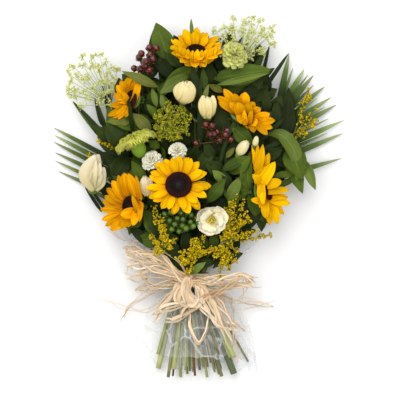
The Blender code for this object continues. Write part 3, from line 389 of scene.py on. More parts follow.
def lay_stems(slots):
    """Every stem's path, from its cut end through the tie to its top: lowest row first, longest stem first."""
    rng = random.Random(7)
    paths, laid = {}, []
    for row in ROWS:
        for name in sorted(row, key=lambda name: -(stem_top(name)[0] - slots[name]).xy.length):
            slot = slots[name]
            end, facing, bend = stem_top(name)
            away = end - slot
            away.z = 0
            leave = slot + Vector((0, TIE_STRAIGHT, 0))
            start = away.normalized() * min(away.length * 0.4, 60)
            free = bezier(leave, leave + start, end - facing * min(bend, away.length * 0.4), end, 7)
            radius = stem_radii(name)[0]
            for point in free[1:-1]:
                point.z = max(point.z, radius + 0.3 if point.y > 0 else min(slot.z, 14))
            free = raised(free, radius, laid)
            fan = LOW_FAN_OUT if row is ROWS[0] else FAN_OUT
            cut = Vector((TIE.x + FAN_LEAN + (slot.x - TIE.x) * fan, CUT_Y + rng.uniform(-12, 14), slot.z))
            paths[name] = [cut, slot - Vector((0, TIE_STRAIGHT, 0)), *free]
            laid.append((paths[name], radius))
    return paths


def along(path, share):
    """The point at a share of the way from the tie to the top of a stem."""
    free = path[2:]
    spot = share * (len(free) - 1)
    step = min(int(spot), len(free) - 2)
    return free[step].lerp(free[step + 1], spot - step)


def leaf_choices(path, tip, half_width, arch, back):
    """A leaf as wished, then ones that are turned, lifted or narrower."""
    start = along(path, 0.995 - back)
    for size in (1.0, 0.8):
        for turn in (0, 7, -7, 14, -14, 21, -21):
            for lift in (0, 5, -5, 10, -10, 16, -16, 22, -22):
                reach = Matrix.Rotation(math.radians(turn), 3, UP) @ (Vector(tip) - start) * (0.6 + 0.4 * size)
                end = start + reach
                end.z = max(end.z + lift, 3)
                yield start, end, half_width * size, arch


def leafy_node(host):
    if host in SUNFLOWERS:
        return host + "_green"
    return host + "_stem" if host in ROSES else host


def fill_wishes(paths):
    """The leaves that could fill the gaps: for each point, one from the nearest stem that carries leaves."""
    for row, (y, left, right) in enumerate(FILL_ROWS):
        count = int((right - left) / FILL_STEP)
        for i in range(count + 1):
            x = left + (right - left) * (i + 0.5 * (row % 2)) / (count + 0.5)
            spot = Vector((x, y, 0))
            best = None
            for host in FILL_HOSTS:
                for step in range(4, 40):
                    share = step / 40
                    start = along(paths[host], share)
                    flat = (start - spot).xy.length
                    lag = abs(flat - 32) + (20 if start.y > y else 0)
                    if best is None or lag < best[0]:
                        best = (lag, host, share, start)
            lag, host, share, start = best
            outward = (spot - start).xy.normalized().to_3d()
            tip = spot + outward * 26
            tip.z = max(start.z + 4, 24)
            yield spot, host, (paths[host], tip, 14.5, 7, 0.995 - share)


def hoop(half_width, height, corner, runs):
    """Points round a box section with round corners, from the left of the top, down, and back."""
    points = []
    arc = 2
    middles = ((-1, 1, 90), (-1, 0, 180), (1, 0, 270), (1, 1, 0))
    for side, level, start in middles:
        centre = Vector((side * (half_width - corner), corner + level * (height - 2 * corner)))
        turns = [math.radians(start + 90 * i / arc) for i in range(arc + 1)]
        points.append([centre + Vector((math.cos(a), math.sin(a))) * corner for a in turns])
    around = []
    for this, after in zip(points, points[1:] + points[:1]):
        around += this
        around += [this[-1].lerp(after[0], i / runs) for i in range(1, runs)]
    return around



# Where the sheaf lies in the frame: the band's middle gives the shift
band_low, band_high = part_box("raffia_band")
SHIFT = (band_low + band_high) / (2 * MM) - TIE
SHIFT.z = 0
LOW, HIGH = (Vector(corner) / MM - SHIFT for corner in cad_box)

# Places below are as the camera sees them: across and down, in four-hundredths of the field
UNIT = 1.65

# Rays of the sunflowers that turn their side to the camera: root, tip, half width, rise from root to tip
RAYS = {
    "sunflower_top": (
        (184, 60, 179, 47, 5.2, 16), (187, 62, 183.5, 48.5, 5.6, 18), (190, 63.6, 188, 50, 5.4, 20),
        (193.5, 64.5, 192.5, 51.5, 5.6, 21), (197, 64.6, 197.5, 50.5, 5.4, 21), (200.5, 64.2, 202, 51, 5.6, 20),
        (204, 63, 206.5, 50, 5.4, 18), (207.5, 61.5, 211.5, 48.5, 5.4, 17), (210.5, 59.5, 216, 47, 5.0, 15),
        (181.5, 57.5, 175.5, 47, 5.0, 12), (213, 57, 219.5, 45.5, 4.8, 12), (188.5, 64, 186, 56, 6.0, 8),
        (202.5, 65, 205, 57, 6.0, 8), (195.5, 65.5, 195, 57, 6.0, 9)),
    "sunflower_right": (
        (255, 165, 251.8, 145, 2.8, 0), (256.5, 170, 257.5, 144.7, 4.6, 4), (258.5, 175, 262.4, 144.7, 6.2, 10),
        (263, 172, 269, 153, 6.0, 2), (261, 184, 274.4, 162, 9.5, 14), (264, 187, 281, 181, 8.0, 6),
        (263, 186, 252, 174.5, 5.5, 14), (267, 191, 289, 189.7, 6.5, -4), (268, 198, 288, 197, 6.0, -8),
        (268, 201, 290, 203.5, 8.0, -6), (270, 202, 284, 214, 7.0, -8), (271, 203, 277.6, 224, 9.0, -4),
        (268, 203, 270, 225, 6.5, -8), (264.6, 201, 265.7, 218.5, 7.0, 0), (259, 202, 250.5, 199.5, 3.6, 2),
        (261, 183, 263, 205, 6.0, 6), (259, 178, 267, 166, 7.0, 4), (258, 170, 264, 160, 6.0, 0),
        (262, 181, 258.5, 199, 6.4, 10), (266, 199, 250.5, 199.5, 4.0, 8), (259, 172, 255, 184, 5.4, 8),
        (262, 206, 261, 194, 5.4, 8), (272, 200, 282, 206, 7.0, 0)),
    "sunflower_lower_left": (
        (130, 199, 123.8, 172.8, 8.8, -2), (138, 197, 128.5, 173.5, 8.0, 4), (140, 198, 136, 175.4, 4.6, 2),
        (128, 201, 118, 175, 7.0, -6), (127, 201, 111.5, 180.5, 8.0, -8), (127, 204, 106, 188, 7.0, -10),
        (126, 206, 103.8, 195.8, 6.5, -12), (126, 208, 101.3, 201.5, 6.0, -12), (126, 210, 99.8, 209.6, 6.5, -12),
        (126, 213, 101.5, 220, 7.0, -10), (127, 214, 105, 226, 6.5, -10), (128, 215, 110.5, 230.5, 8.5, -8),
        (130, 216, 119.7, 228.5, 7.5, -4), (133, 216, 126, 227, 6.0, 0), (138.5, 208, 133, 225.5, 7.0, 6),
        (136, 211, 121, 215, 9.0, 12), (139, 213, 132.5, 195, 4.6, 14), (141, 204, 139.5, 222, 4.8, 2)),
    "sunflower_upper_left": (
        (131, 94, 138.3, 76, 8.8, 4), (129, 92, 131.5, 77.5, 7.5, 0), (129, 94, 126.8, 77.4, 7.8, -2),
        (127, 96, 120, 80, 7.0, -6), (126, 98, 116, 84.5, 7.0, -8), (125, 100, 113.5, 93.5, 6.5, -8),
        (124, 103, 109.5, 105, 5.8, -8), (126, 107, 107.3, 115.5, 5.8, -4), (127, 106, 113, 118, 5.2, -4),
        (127, 106, 118, 119, 5.2, -2), (129, 105, 125, 117, 4.8, 0), (133, 106, 140, 80, 5.8, 10),
        (131, 107, 137, 93, 5.4, 12), (130, 106, 122.5, 91, 4.6, -2), (127, 103, 116, 99, 4.6, -4)),
    "sunflower_upper_right": (
        (236, 106, 223.7, 88.9, 7.4, -2), (233, 108, 217.3, 96.5, 7.0, -2), (237, 113, 218.5, 102.5, 6.0, 4),
        (240, 108, 234, 93.5, 7.0, 4), (243, 110, 245.4, 92, 9.5, 4), (243, 117, 237, 103, 9.0, 12),
        (246, 114, 254.5, 102, 8.0, 6), (248, 118, 247, 103, 9.0, 14), (251, 116, 260, 107.5, 7.4, 6),
        (256, 119, 269.6, 113.5, 7.8, 2), (257, 122, 275, 120.5, 7.4, 0), (257, 124, 272.5, 128, 6.0, -2),
        (256, 123, 267.3, 135, 6.4, 2), (250, 119, 254, 132.5, 7.0, 4), (245, 116, 248, 128.5, 7.4, 8),
        (240, 113, 241, 124, 7.2, 8), (236, 109, 231, 115, 5.8, 4), (252, 117, 262, 128, 7.0, 4),
        (237, 108, 231, 97, 7.5, 10), (239, 112, 229, 103, 7.0, 12), (245, 124, 243.5, 110.5, 4.2, 12),
        (249, 124, 251, 110.5, 4.6, 12), (244, 117, 238.5, 121, 6.0, 12), (250, 120, 257, 124, 7.0, 12)),
}
RAY_SHIFT = {"sunflower_right": (10, 2), "sunflower_lower_left": (6, -3), "sunflower_upper_right": (6, 0)}

# How the other blooms stand: middle, facing, radius, height
STAND = {
    "rose_left": ((94, 174.5, 62), (0.12, 0.93, 0.34), 15.5, 38),
    "rose_upper_a": ((185.5, 92.5, 96), (0.25, 0.86, 0.45), 17.5, 38),
    "rose_upper_b": ((207, 107.5, 92), (-0.12, 0.9, 0.42), 13.5, 38),
    "rose_mid": ((146.5, 185.5, 82), (-0.2, 0.9, 0.4), 11, 34),
    "lisianthus": ((212, 220, 92), (-0.12, -0.10, 0.98), 20, 22),
    "lisianthus_bud_a": ((242.5, 148, 90), (0.55, 0.8, 0.2), 8.6, 29),
    "lisianthus_bud_b": ((255.5, 141.5, 90), (0.25, 0.95, 0.2), 4.6, 18),
    "carnation_left": ((134.5, 139.5, 88), (-0.41, 0.90, 0.10), 33.5, 10),
    "carnation_top": ((235, 54, 76), (0.40, 0.52, 0.75), 22.5, 20),
    "spray_carnation_a": ((151, 160, 92), (-0.3, 0.3, 0.9), 15.5, 20),
    "spray_carnation_b": ((178, 150, 94), (0.1, 0.5, 0.86), 14, 18),
}

# Petals of the roses that lie in front: foot, middle and tip with their heights, half width, roll of the edge
PETALS = {
    "rose_left": (
        ((93.5, 191, 66), (85, 175, 79), (95.5, 155, 74), 11.5, -0.5), ((96, 190, 58), (95, 172, 66), (98, 154, 62), 9, -0.3),
        ((96, 190, 62), (101, 180, 72), (103.5, 167, 66), 7, -0.4), ((96, 191, 66), (101, 184, 76), (105, 176, 68), 6, -0.4),
        ((95, 188, 72), (98.5, 175, 83), (100, 163, 78), 5, -0.4), ((94.5, 186, 76), (95.5, 174, 88), (96, 160, 82), 3.5, 0.6),
        ((97, 187, 74), (99.5, 181, 82), (101.5, 173, 80), 3.5, 0.5)),
    "rose_upper_a": (
        ((186, 103, 96), (190.5, 93, 110), (189, 82, 104), 9, -0.45), ((184, 103, 96), (179, 93, 108), (182, 83, 102), 9.5, -0.45)),
    "rose_upper_b": (
        ((208, 119, 92), (212, 108, 102), (213, 96, 98), 7, -0.3), ((206, 119, 92), (202.5, 108, 102), (203, 96, 100), 7, -0.35),
        ((209, 119, 94), (209, 108, 106), (207.5, 99, 106), 5.5, 0.25)),
    "rose_mid": (((147, 196, 84), (150, 187, 92), (150, 178, 90), 5.5, -0.4),
                 ((146, 196, 84), (142.5, 187, 91), (144, 177, 89), 5.5, -0.4)),
}

# Leaves that show in front: two ends with their heights, half width, arch, material. Those marked dark carry the shaded
# leaf colour, which is painted shade.
LEAVES_SEEN = {
    "greens_upper_left": (
        (170, 62, 60, 155.5, 21.5, 58, 18, 6, "leaf"), (199, 98, 98, 192, 66, 94, 6.5, 3, "dark"), (205, 92, 92, 203, 68, 90, 5.5, 3, "leaf"),
        (192, 36, 66, 191, 17.5, 60, 2.6, 1, "leaf_pale"), (199, 112, 92, 209, 84, 92, 5, 3, "olive"),
        (157, 108, 84, 152, 88, 84, 4.5, 3, "leaf_pale"), (164, 110, 84, 161, 93, 84, 4.0, 3, "leaf_pale"),
        (160, 88, 84, 122, 71.5, 90, 7.5, 9, "olive"), (190, 74, 80, 159.5, 94, 88, 10.5, 6, "leaf_pale"),
        (168, 112, 72, 149, 91, 78, 5.5, 4, "leaf"), (172, 112, 72, 160, 93, 76, 5.0, 4, "leaf_pale"),
        (160, 118, 70, 146, 104, 74, 6.0, 4, "leaf"), (176, 80, 56, 150, 50, 48, 12, 8, "dark"),
        (182, 70, 60, 163, 38, 52, 12, 8, "dark"), (157, 112, 64, 140, 98, 66, 8, 5, "dark")),
    "greens_left": (
        (137, 118, 60, 106, 121, 58, 9.5, 5, "olive"), (152, 132, 68, 132, 113, 72, 9.5, 5, "olive"),
        (122, 150, 54, 103, 126, 44, 9, 6, "dark"), (132, 190, 58, 109, 164, 54, 11, 6, "leaf"),
        (147, 186, 64, 131, 160, 66, 9, 6, "leaf"), (160, 148, 70, 148, 141, 72, 7, 4, "leaf"),
        (108, 200, 42, 103, 180, 40, 8, 4, "dark"), (124, 175, 50, 104, 155, 48, 10, 6, "dark")),
    "greens_upper_right": (
        (210, 79, 62, 272, 69, 64, 16.5, 9, "leaf"), (214, 85.5, 73, 270, 72.5, 72, 5.0, 3, "leaf_pale"),
        (214, 84, 60, 208, 62, 62, 9, 5, "dark"), (224, 72, 54, 216, 52, 52, 8, 5, "dark"),
        (238, 96, 54, 262, 88, 50, 10, 6, "dark"), (224, 92, 66, 208, 84, 66, 5.5, 4, "olive"),
        (248, 80, 44, 266, 50, 30, 5, 3, "dark"), (250, 84, 40, 276, 66, 30, 7, 3, "dark")),
    "greens_centre": (
        (221, 171, 74, 247.5, 156, 80, 8, 5, "leaf"), (243, 202, 66, 250, 151, 82, 8.5, 6, "leaf"),
        (228, 184, 72, 212, 170, 78, 7.5, 4, "leaf_pale"), (206, 204, 74, 226, 178, 78, 9.5, 6, "leaf"),
        (227, 203, 72, 241, 176, 80, 9, 6, "leaf_pale"), (234, 196, 70, 222, 168, 76, 7, 5, "dark"),
        (250, 140, 66, 224, 119, 70, 8, 6, "leaf"), (236, 138, 70, 238, 118, 74, 7, 5, "leaf_pale"),
        (198, 172, 64, 213, 148, 70, 11, 6, "dark"), (214, 160, 70, 204, 142, 72, 8, 5, "dark"),
        (226, 158, 72, 235, 147, 74, 4, 3, "olive"), (262, 206, 54, 246, 228, 56, 9, 6, "dark")),
    "greens_right": (
        (303, 157, 56, 316.5, 190, 50, 8, 6, "leaf_pale"), (262, 200, 50, 262, 232, 44, 10, 6, "dark"),
        (272, 176, 50, 300, 172, 50, 5, 4, "leaf"), (268, 190, 44, 302, 176, 40, 5, 3, "leaf"),
        (262, 160, 50, 284, 148, 56, 9, 6, "dark"), (268, 150, 46, 290, 168, 48, 9, 5, "dark")),
    "greens_lower": (
        (166, 240, 62, 148, 211, 70, 12, 7, "dark"), (152, 246, 52, 128, 226, 48, 8, 5, "dark"),
        (190, 256, 62, 184, 230, 68, 11, 6, "dark"), (200, 258, 60, 204, 232, 66, 10, 6, "dark"),
        (188, 275, 66, 206, 262, 74, 6, 4, "leaf_pale"), (180, 262, 60, 168, 238, 64, 9, 6, "dark"),
        (214, 262, 58, 228, 240, 60, 9, 6, "dark"), (212, 250, 60, 216, 232, 66, 8, 5, "leaf")),
}

# The long pale leaf that arches over at the right, and the dark blades that lie in front
ARCHED_LEAF = ((264, 134, 58), (281, 134.5, 72), (293, 148, 74), (298, 165, 66), (297, 181, 56))
BLADES = {
    "palm_centre": ((200, 150, 70, 200.5, 77, 104, 4.6), (206, 92, 60, 213, 62, 62, 3.5),
                    (256, 74, 30, 257, 43, 18, 2.8), (262, 80, 28, 270.5, 43, 14, 2.8),
                    (228, 60, 50, 243, 35, 40, 2.6), (236, 60, 46, 249, 40, 36, 2.6), (246, 66, 40, 263, 44, 26, 2.4), (262, 92, 34, 290, 51, 20, 3.4)),
    "palm_left": ((133, 134, 66, 129, 101, 92, 3.6), (100, 124, 22, 93, 97, 20, 2.8), (108, 120, 30, 108, 84, 28, 2.6),
                  (110, 122, 30, 101, 84, 26, 2.6), (114, 146, 40, 71, 100, 30, 4.0), (100, 212, 16, 82, 185, 8, 2.8),
                  (104, 210, 16, 88, 188, 8, 2.8)),
    "palm_right": ((262, 140, 60, 284, 118, 56, 4.0), (258, 152, 58, 288, 138, 54, 4.2), (262, 158, 50, 292, 158, 50, 4.0)),
}

# Rows of the dense part: how far down, and its left and right end. Its leaves lie low under the blooms in the shaded
# leaf colour: painted shade in the gaps.
DENSE = ((46, 178, 232), (57, 160, 256), (68, 150, 262), (80, 126, 268), (91, 118, 274), (102, 114, 278),
         (113, 110, 282), (124, 108, 286), (135, 106, 290), (146, 106, 290), (157, 108, 290), (168, 110, 286),
         (179, 114, 280), (190, 118, 272), (201, 120, 262), (212, 124, 256), (223, 130, 250), (234, 138, 242),
         (245, 150, 240), (256, 164, 230), (266, 176, 212))
DENSE_STEP = 11.0

# More twigs of goldenrod, and more berries, than the solids carry
TWIGS_SEEN = {
    "goldenrod_left": ((154, 207, 84), (161, 216, 86), (164, 226, 86), (166, 236, 84), (157, 246, 82), (170, 247, 84)),
    "goldenrod_centre": ((182, 262, 80), (190, 250, 84), (196, 240, 86), (187, 273, 78),
                         (202, 252, 84), (178, 257, 80)),
    "goldenrod_lower_right": ((236, 196, 80), (243, 203, 78), (231, 204, 84), (247, 213, 74), (240, 215, 80),
                              (233, 214, 86), (248, 222, 72), (240, 224, 80), (230, 222, 86), (258, 230, 66),
                              (270, 235, 58), (250, 232, 72), (226, 234, 84), (230, 270, 62),
                              (225, 262, 68), (221, 282, 56), (216, 256, 76), (222, 250, 78), (236, 262, 56)),
    "goldenrod_right": ((310, 89, 30), (318, 121, 30)),
}
SPRIGS = (((118, 150, 40), (103, 140.5, 44)), ((115, 148, 40), (97, 138.5, 42)), ((102, 168, 50), (87, 155, 46)),
          ((300, 128, 36), (316, 121, 34)), ((296, 108, 34), (312, 94, 28)))
BERRIES_SEEN = {
    "hypericum_green": ((172, 229, 90), (179, 231, 92), (186, 228, 92), (175, 224, 94), (183, 219, 95), (191, 215, 88),
                        (199, 214, 84), (187, 207, 84), (165, 214, 84), (193, 226, 90), (181, 213, 90), (198, 223, 86)),
    "hypericum_centre": ((206, 125, 92), (214, 134, 96), (225, 135, 94)),
    "hypericum_left": ((150, 55, 80), (145, 66, 84), (156, 48, 70)),
}

# Raffia: a guide, how many strips follow it, how far each point strays, and half width
FANS = (
    (((180, 276, 68), (160, 258, 64), (140, 240, 50)), 7, (1.5, 2.5, 3), 1.3),
    (((182, 277, 66), (160, 262, 62), (138, 252, 54), (127, 250, 46), (132, 256, 50), (158, 268, 58)), 9, (1.5, 3, 5), 1.5),
    (((182, 277, 66), (162, 264, 62), (148, 254, 56), (141, 258, 52), (143, 276, 50), (152, 286, 52), (176, 284, 60)), 7,
     (1.5, 2.5, 4), 1.5),
    (((180, 278, 68), (158, 268, 62), (136, 264, 52), (128, 270, 46)), 8, (1.5, 3, 5), 1.2),
    (((180, 280, 66), (160, 276, 58), (136, 278, 44), (126, 277, 38)), 5, (1.5, 3, 6), 1.0),
    (((180, 282, 64), (158, 286, 52), (140, 286, 42), (138, 292, 38), (148, 292, 44)), 4, (1.5, 2.5, 3), 1.2),
    (((182, 284, 64), (156, 290, 50), (130, 308, 26), (123, 325, 12)), 3, (1, 2, 3), 1.1),
    (((178, 262, 66), (150, 244, 50), (120, 235, 30), (104, 230, 20)), 2, (1, 2, 3), 0.8),
    (((184, 279, 70), (166, 297, 62), (153, 318, 50)), 2, (1, 1.5, 2), 4.4),
    (((186, 284, 66), (172, 300, 60), (160, 312, 50), (156, 322, 44)), 4, (1.5, 2.5, 3), 1.6),
    (((186, 280, 70), (177, 292, 68), (180, 302, 66), (196, 304, 66), (202, 294, 68), (194, 281, 70)), 5, (1, 2.5, 2), 3.6),
    (((190, 282, 72), (186, 296, 70), (192, 304, 68), (199, 296, 70), (196, 284, 72)), 3, (1, 2, 2), 3.0),
    (((188, 279, 74), (189, 289, 76), (195, 300, 74), (203, 303, 70)), 5, (1, 1.6, 2), 3.2),
    (((187, 279, 74), (183, 290, 74), (186, 301, 72)), 3, (1, 1.5, 2), 3.4),
    (((206, 297, 68), (190, 303, 68), (166, 309, 62), (158, 311, 58)), 3, (1.5, 2, 2.5), 2.2),
    (((208, 300, 66), (190, 310, 66), (176, 318, 60), (167, 321, 56)), 4, (1.5, 2, 2.5), 2.2),
    (((188, 296, 72), (198, 306, 70), (210, 319, 64)), 2, (1, 1.2, 1.5), 2.4),
    (((188, 312, 66), (191, 328, 62), (198, 344, 58), (206, 330, 60), (209, 314, 62)), 2, (0.6, 1, 1), 1.7),
    (((196, 281, 70), (212, 280, 66), (228, 279, 60), (244, 276, 54), (254, 283, 50)), 7, (1.5, 2.5, 3.5), 1.5),
    (((208, 297, 68), (224, 288, 64), (242, 279, 56), (250, 281, 52), (236, 287, 54), (214, 290, 60)), 5, (1.5, 2, 3), 1.6),
    (((196, 282, 68), (214, 284, 62), (238, 286, 54), (256, 288, 48)), 5, (1.5, 2, 3.5), 1.1),
    (((200, 284, 68), (214, 300, 64), (226, 318, 56), (247, 330, 40)), 5, (1.5, 2.5, 3.5), 2.0),
    (((200, 286, 68), (212, 304, 64), (222, 328, 56), (228, 348, 46)), 5, (1.5, 2.5, 3), 1.9),
    (((198, 286, 66), (208, 308, 62), (218, 322, 58), (240, 330, 44)), 4, (1.5, 2.5, 3), 1.8),
    (((206, 290, 64), (224, 308, 56), (234, 340, 46), (239, 364, 38)), 3, (1, 1.5, 2), 0.9),
    (((206, 288, 64), (228, 296, 50), (232, 304, 40), (234, 324, 34)), 2, (1, 1.5, 2), 0.9),
    (((244, 279, 54), (246, 290, 48), (242, 300, 42)), 2, (1, 1.5, 1.5), 0.9),
    (((208, 292, 62), (228, 302, 40), (252, 304, 26), (272, 303, 16)), 4, (1.5, 2.5, 4), 0.8),
    (((176, 290, 58), (150, 313, 30), (126, 309, 16), (104, 301, 10)), 2, (1, 2, 3), 0.8),
)


def seen(u, v, z):
    """A point over a place as the camera sees it."""
    return Vector(((u - 200) * UNIT, (200 - v) * UNIT, z))


class Batch:
    """Points, faces and a place on each petal or leaf (across, along), gathered for one piece."""

    def __init__(self):
        self.points = []
        self.faces = []
        self.marks = []

    def grid(self, rows, closed=False, along=None):
        first = len(self.points)
        width = len(rows[0])
        for r, row in enumerate(rows):
            v = along[r] if along else r / (len(rows) - 1)
            for c, point in enumerate(row):
                self.points.append(point)
                self.marks.append((c / (width if closed else width - 1), v))
        for r in range(len(rows) - 1):
            for c in range(width if closed else width - 1):
                a = first + r * width + c
                b = first + r * width + (c + 1) % width
                self.faces.append((a, b, b + width, a + width))

    def tube(self, path, radii, sides, ends=True, ridges=0.0):
        """A stem along a path, with closed ends and, where ridges isn't zero, ridges along it."""
        side = tangents(path)[0].cross(UP + Vector((0.01, 0, 0)))
        rows = []
        for point, direction, radius in zip(path, tangents(path), radii):
            side = (side - direction * side.dot(direction)).normalized()
            other = direction.cross(side)
            row = []
            for i in range(sides):
                angle = 2 * math.pi * i / sides
                out = radius * (1 - ridges * (i % 2))
                row.append(point + (side * math.cos(angle) + other * math.sin(angle)) * out)
            rows.append(row)
        first = len(self.points)
        self.grid(rows, closed=True)
        if ends:
            self.faces.append(tuple(range(first + sides - 1, first - 1, -1)))
            last = len(self.points) - sides
            self.faces.append(tuple(range(last, last + sides)))

    def solid(self, points, faces, v=0.5):
        first = len(self.points)
        self.points += points
        self.marks += [(0.5, v)] * len(points)
        self.faces += [tuple(first + i for i in face) for face in faces]


def piece(name, batch, material, nodes, thick=0.0, smooth=True):
    """One object of the sheaf, made of a batch, in the place of the nodes named."""
    mesh = bpy.data.meshes.new(name)
    mesh.from_pydata([(point + SHIFT) * MM for point in batch.points], [], batch.faces)
    layer = mesh.uv_layers.new(name="UVMap")
    marks = []
    for loop in mesh.loops:
        marks += batch.marks[loop.vertex_index]
    layer.data.foreach_set("uv", marks)
    made = bpy.data.objects.new(name, mesh)
    bpy.context.scene.collection.objects.link(made)
    if thick:
        shell = made.modifiers.new("thickness", "SOLIDIFY")
        shell.thickness = thick * MM
        shell.offset = 0
        made.data = bpy.data.meshes.new_from_object(made.evaluated_get(bpy.context.evaluated_depsgraph_get()))
        made.modifiers.clear()
    for vertex in made.data.vertices:
        vertex.co = [min(max(value, low), high) for value, low, high in zip(vertex.co, *cad_box)]
    if smooth:
        made.data.shade_smooth()
    made.data.materials.clear()
    made.data.materials.append(MATERIALS[material])
    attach(made, "root")
    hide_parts(*nodes)
    return made


# Materials

def add(tree, kind, inputs=(), **settings):
    """A shader node with its settings, and its inputs set to a value or linked to (node, output)."""
    made = tree.nodes.new("ShaderNode" + kind)
    for key, value in settings.items():
        setattr(made, key, value)
    for key, value in dict(inputs).items():
        if isinstance(value, tuple) and isinstance(value[0], bpy.types.Node):
            tree.links.new(value[0].outputs[value[1]], made.inputs[key])
        else:
            made.inputs[key].default_value = value
    return made


def ramp(tree, source, stops):
    made = add(tree, "ValToRGB", {0: source})
    elements = made.color_ramp.elements
    while len(elements) < len(stops):
        elements.new(0.5)
    for element, (position, colour) in zip(elements, stops):
        element.position = position
        element.color = (*colour, 1)
    return made


def grown_material(name, stops, streak, streak_share=0.35, streak_scale=14.0, vary=0.25, patch=None,
                   roughness=0.5, bump=0.25, veins=None, subsurface=0.0, sheen=0.0, coat=0.0, specular=0.14):
    """Petal, leaf or stem: colour along its length, lengthwise streaks, patches, veins, and a shade of its own."""
    made = bpy.data.materials.new(name)
    made.use_nodes = True
    tree = made.node_tree
    shader = tree.nodes["Principled BSDF"]
    place = add(tree, "TexCoord")
    split = add(tree, "SeparateXYZ", {0: (place, "UV")})
    own = add(tree, "NewGeometry")
    offset = add(tree, "Math", {0: (own, "Random Per Island"), 1: 37.0}, operation="MULTIPLY")
    base = ramp(tree, (split, "Y"), stops)
    across = add(tree, "Math", {0: (split, "X"), 1: streak_scale}, operation="MULTIPLY")
    along_scaled = add(tree, "Math", {0: (split, "Y"), 1: 1.6}, operation="MULTIPLY")
    spot = add(tree, "CombineXYZ", {0: (across, 0), 1: (along_scaled, 0), 2: (offset, 0)})
    lines = add(tree, "TexNoise", {"Vector": (spot, 0), "Scale": 1.0, "Detail": 3.0, "Roughness": 0.6})
    share = add(tree, "MapRange", {"Value": (lines, 0), "From Min": 0.42, "From Max": 0.68, "To Min": 0.0,
                                   "To Max": streak_share})
    colour = add(tree, "Mix", {0: (share, 0), 6: (base, 0), 7: (*streak, 1)}, data_type="RGBA")
    height = (lines, 0)
    if patch:
        cloud = add(tree, "TexNoise", {"Vector": (place, "Object"), "Scale": 60.0, "Detail": 4.0})
        amount = add(tree, "MapRange", {"Value": (cloud, 0), "From Min": 0.45, "From Max": 0.75, "To Min": 0.0,
                                        "To Max": 0.6})
        colour = add(tree, "Mix", {0: (amount, 0), 6: (colour, 2), 7: (*patch, 1)}, data_type="RGBA")
    if veins:
        vein_colour, count = veins
        aside = add(tree, "Math", {0: (split, "X"), 1: 0.5}, operation="SUBTRACT")
        away = add(tree, "Math", {0: (aside, 0)}, operation="ABSOLUTE")
        slant = add(tree, "Math", {0: (away, 0), 1: -1.1, 2: (split, "Y")}, operation="MULTIPLY_ADD")
        turn = add(tree, "Math", {0: (slant, 0), 1: count * 2 * math.pi}, operation="MULTIPLY")
        wave = add(tree, "Math", {0: (turn, 0)}, operation="COSINE")
        line = add(tree, "MapRange", {"Value": (wave, 0), "From Min": 0.9, "From Max": 1.0, "To Min": 0.0,
                                      "To Max": 0.45})
        rib = add(tree, "MapRange", {"Value": (away, 0), "From Min": 0.045, "From Max": 0.015, "To Min": 0.0,
                                     "To Max": 0.7})
        both = add(tree, "Math", {0: (line, 0), 1: (rib, 0)}, operation="MAXIMUM")
        colour = add(tree, "Mix", {0: (both, 0), 6: (colour, 2), 7: (*vein_colour, 1)}, data_type="RGBA")
        height = (add(tree, "Math", {0: (lines, 0), 1: (both, 0)}, operation="SUBTRACT"), 0)
    tone = add(tree, "MapRange", {"Value": (own, "Random Per Island"), "To Min": 1 - vary, "To Max": 1 + vary * 0.6})
    shade = add(tree, "HueSaturation", {"Color": (colour, 2), "Value": (tone, 0)})
    tree.links.new(shade.outputs[0], shader.inputs["Base Color"])
    relief = add(tree, "Bump", {"Strength": bump, "Distance": 0.0006, "Height": height})
    tree.links.new(relief.outputs[0], shader.inputs["Normal"])
    shader.inputs["Roughness"].default_value = roughness
    shader.inputs["Specular IOR Level"].default_value = specular
    shader.inputs["Sheen Weight"].default_value = sheen
    shader.inputs["Coat Weight"].default_value = coat
    shader.inputs["Coat Roughness"].default_value = 0.3
    if subsurface:
        shader.inputs["Subsurface Weight"].default_value = subsurface
        shader.inputs["Subsurface Scale"].default_value = 0.003
    return made


def film_material():
    """Clear crinkled film: nearly all light passes. Its white colour, laid on at low alpha, is a painted sheen, and the
    whiter, more opaque lines along its creases are painted glints; the bumped creases also glint with real reflections.
    """
    made = bpy.data.materials.new("clear_film")
    made.use_nodes = True
    tree = made.node_tree
    shader = tree.nodes["Principled BSDF"]
    place = add(tree, "TexCoord")
    crease = add(tree, "TexVoronoi", {"Vector": (place, "Object"), "Scale": 22.0}, feature="DISTANCE_TO_EDGE")
    fine = add(tree, "TexNoise", {"Vector": (place, "Object"), "Scale": 60.0, "Detail": 5.0})
    mixed = add(tree, "Math", {0: (crease, 0), 1: (fine, 0)}, operation="ADD")
    relief = add(tree, "Bump", {"Strength": 0.9, "Distance": 0.003, "Height": (mixed, 0)})
    tree.links.new(relief.outputs[0], shader.inputs["Normal"])
    # Alpha of the painted sheen, raised along the creases into painted glints.
    painted_sheen_and_glint = add(tree, "MapRange", {"Value": (crease, 0), "From Min": 0.0, "From Max": 0.05, "To Min": 0.50,
                                  "To Max": 0.16})
    tree.links.new(painted_sheen_and_glint.outputs[0], shader.inputs["Alpha"])
    # The film's white colour: painted sheen.
    shader.inputs["Base Color"].default_value = (0.86, 0.88, 0.90, 1)
    shader.inputs["Roughness"].default_value = 0.08
    shader.inputs["Specular IOR Level"].default_value = 1.0
    return made


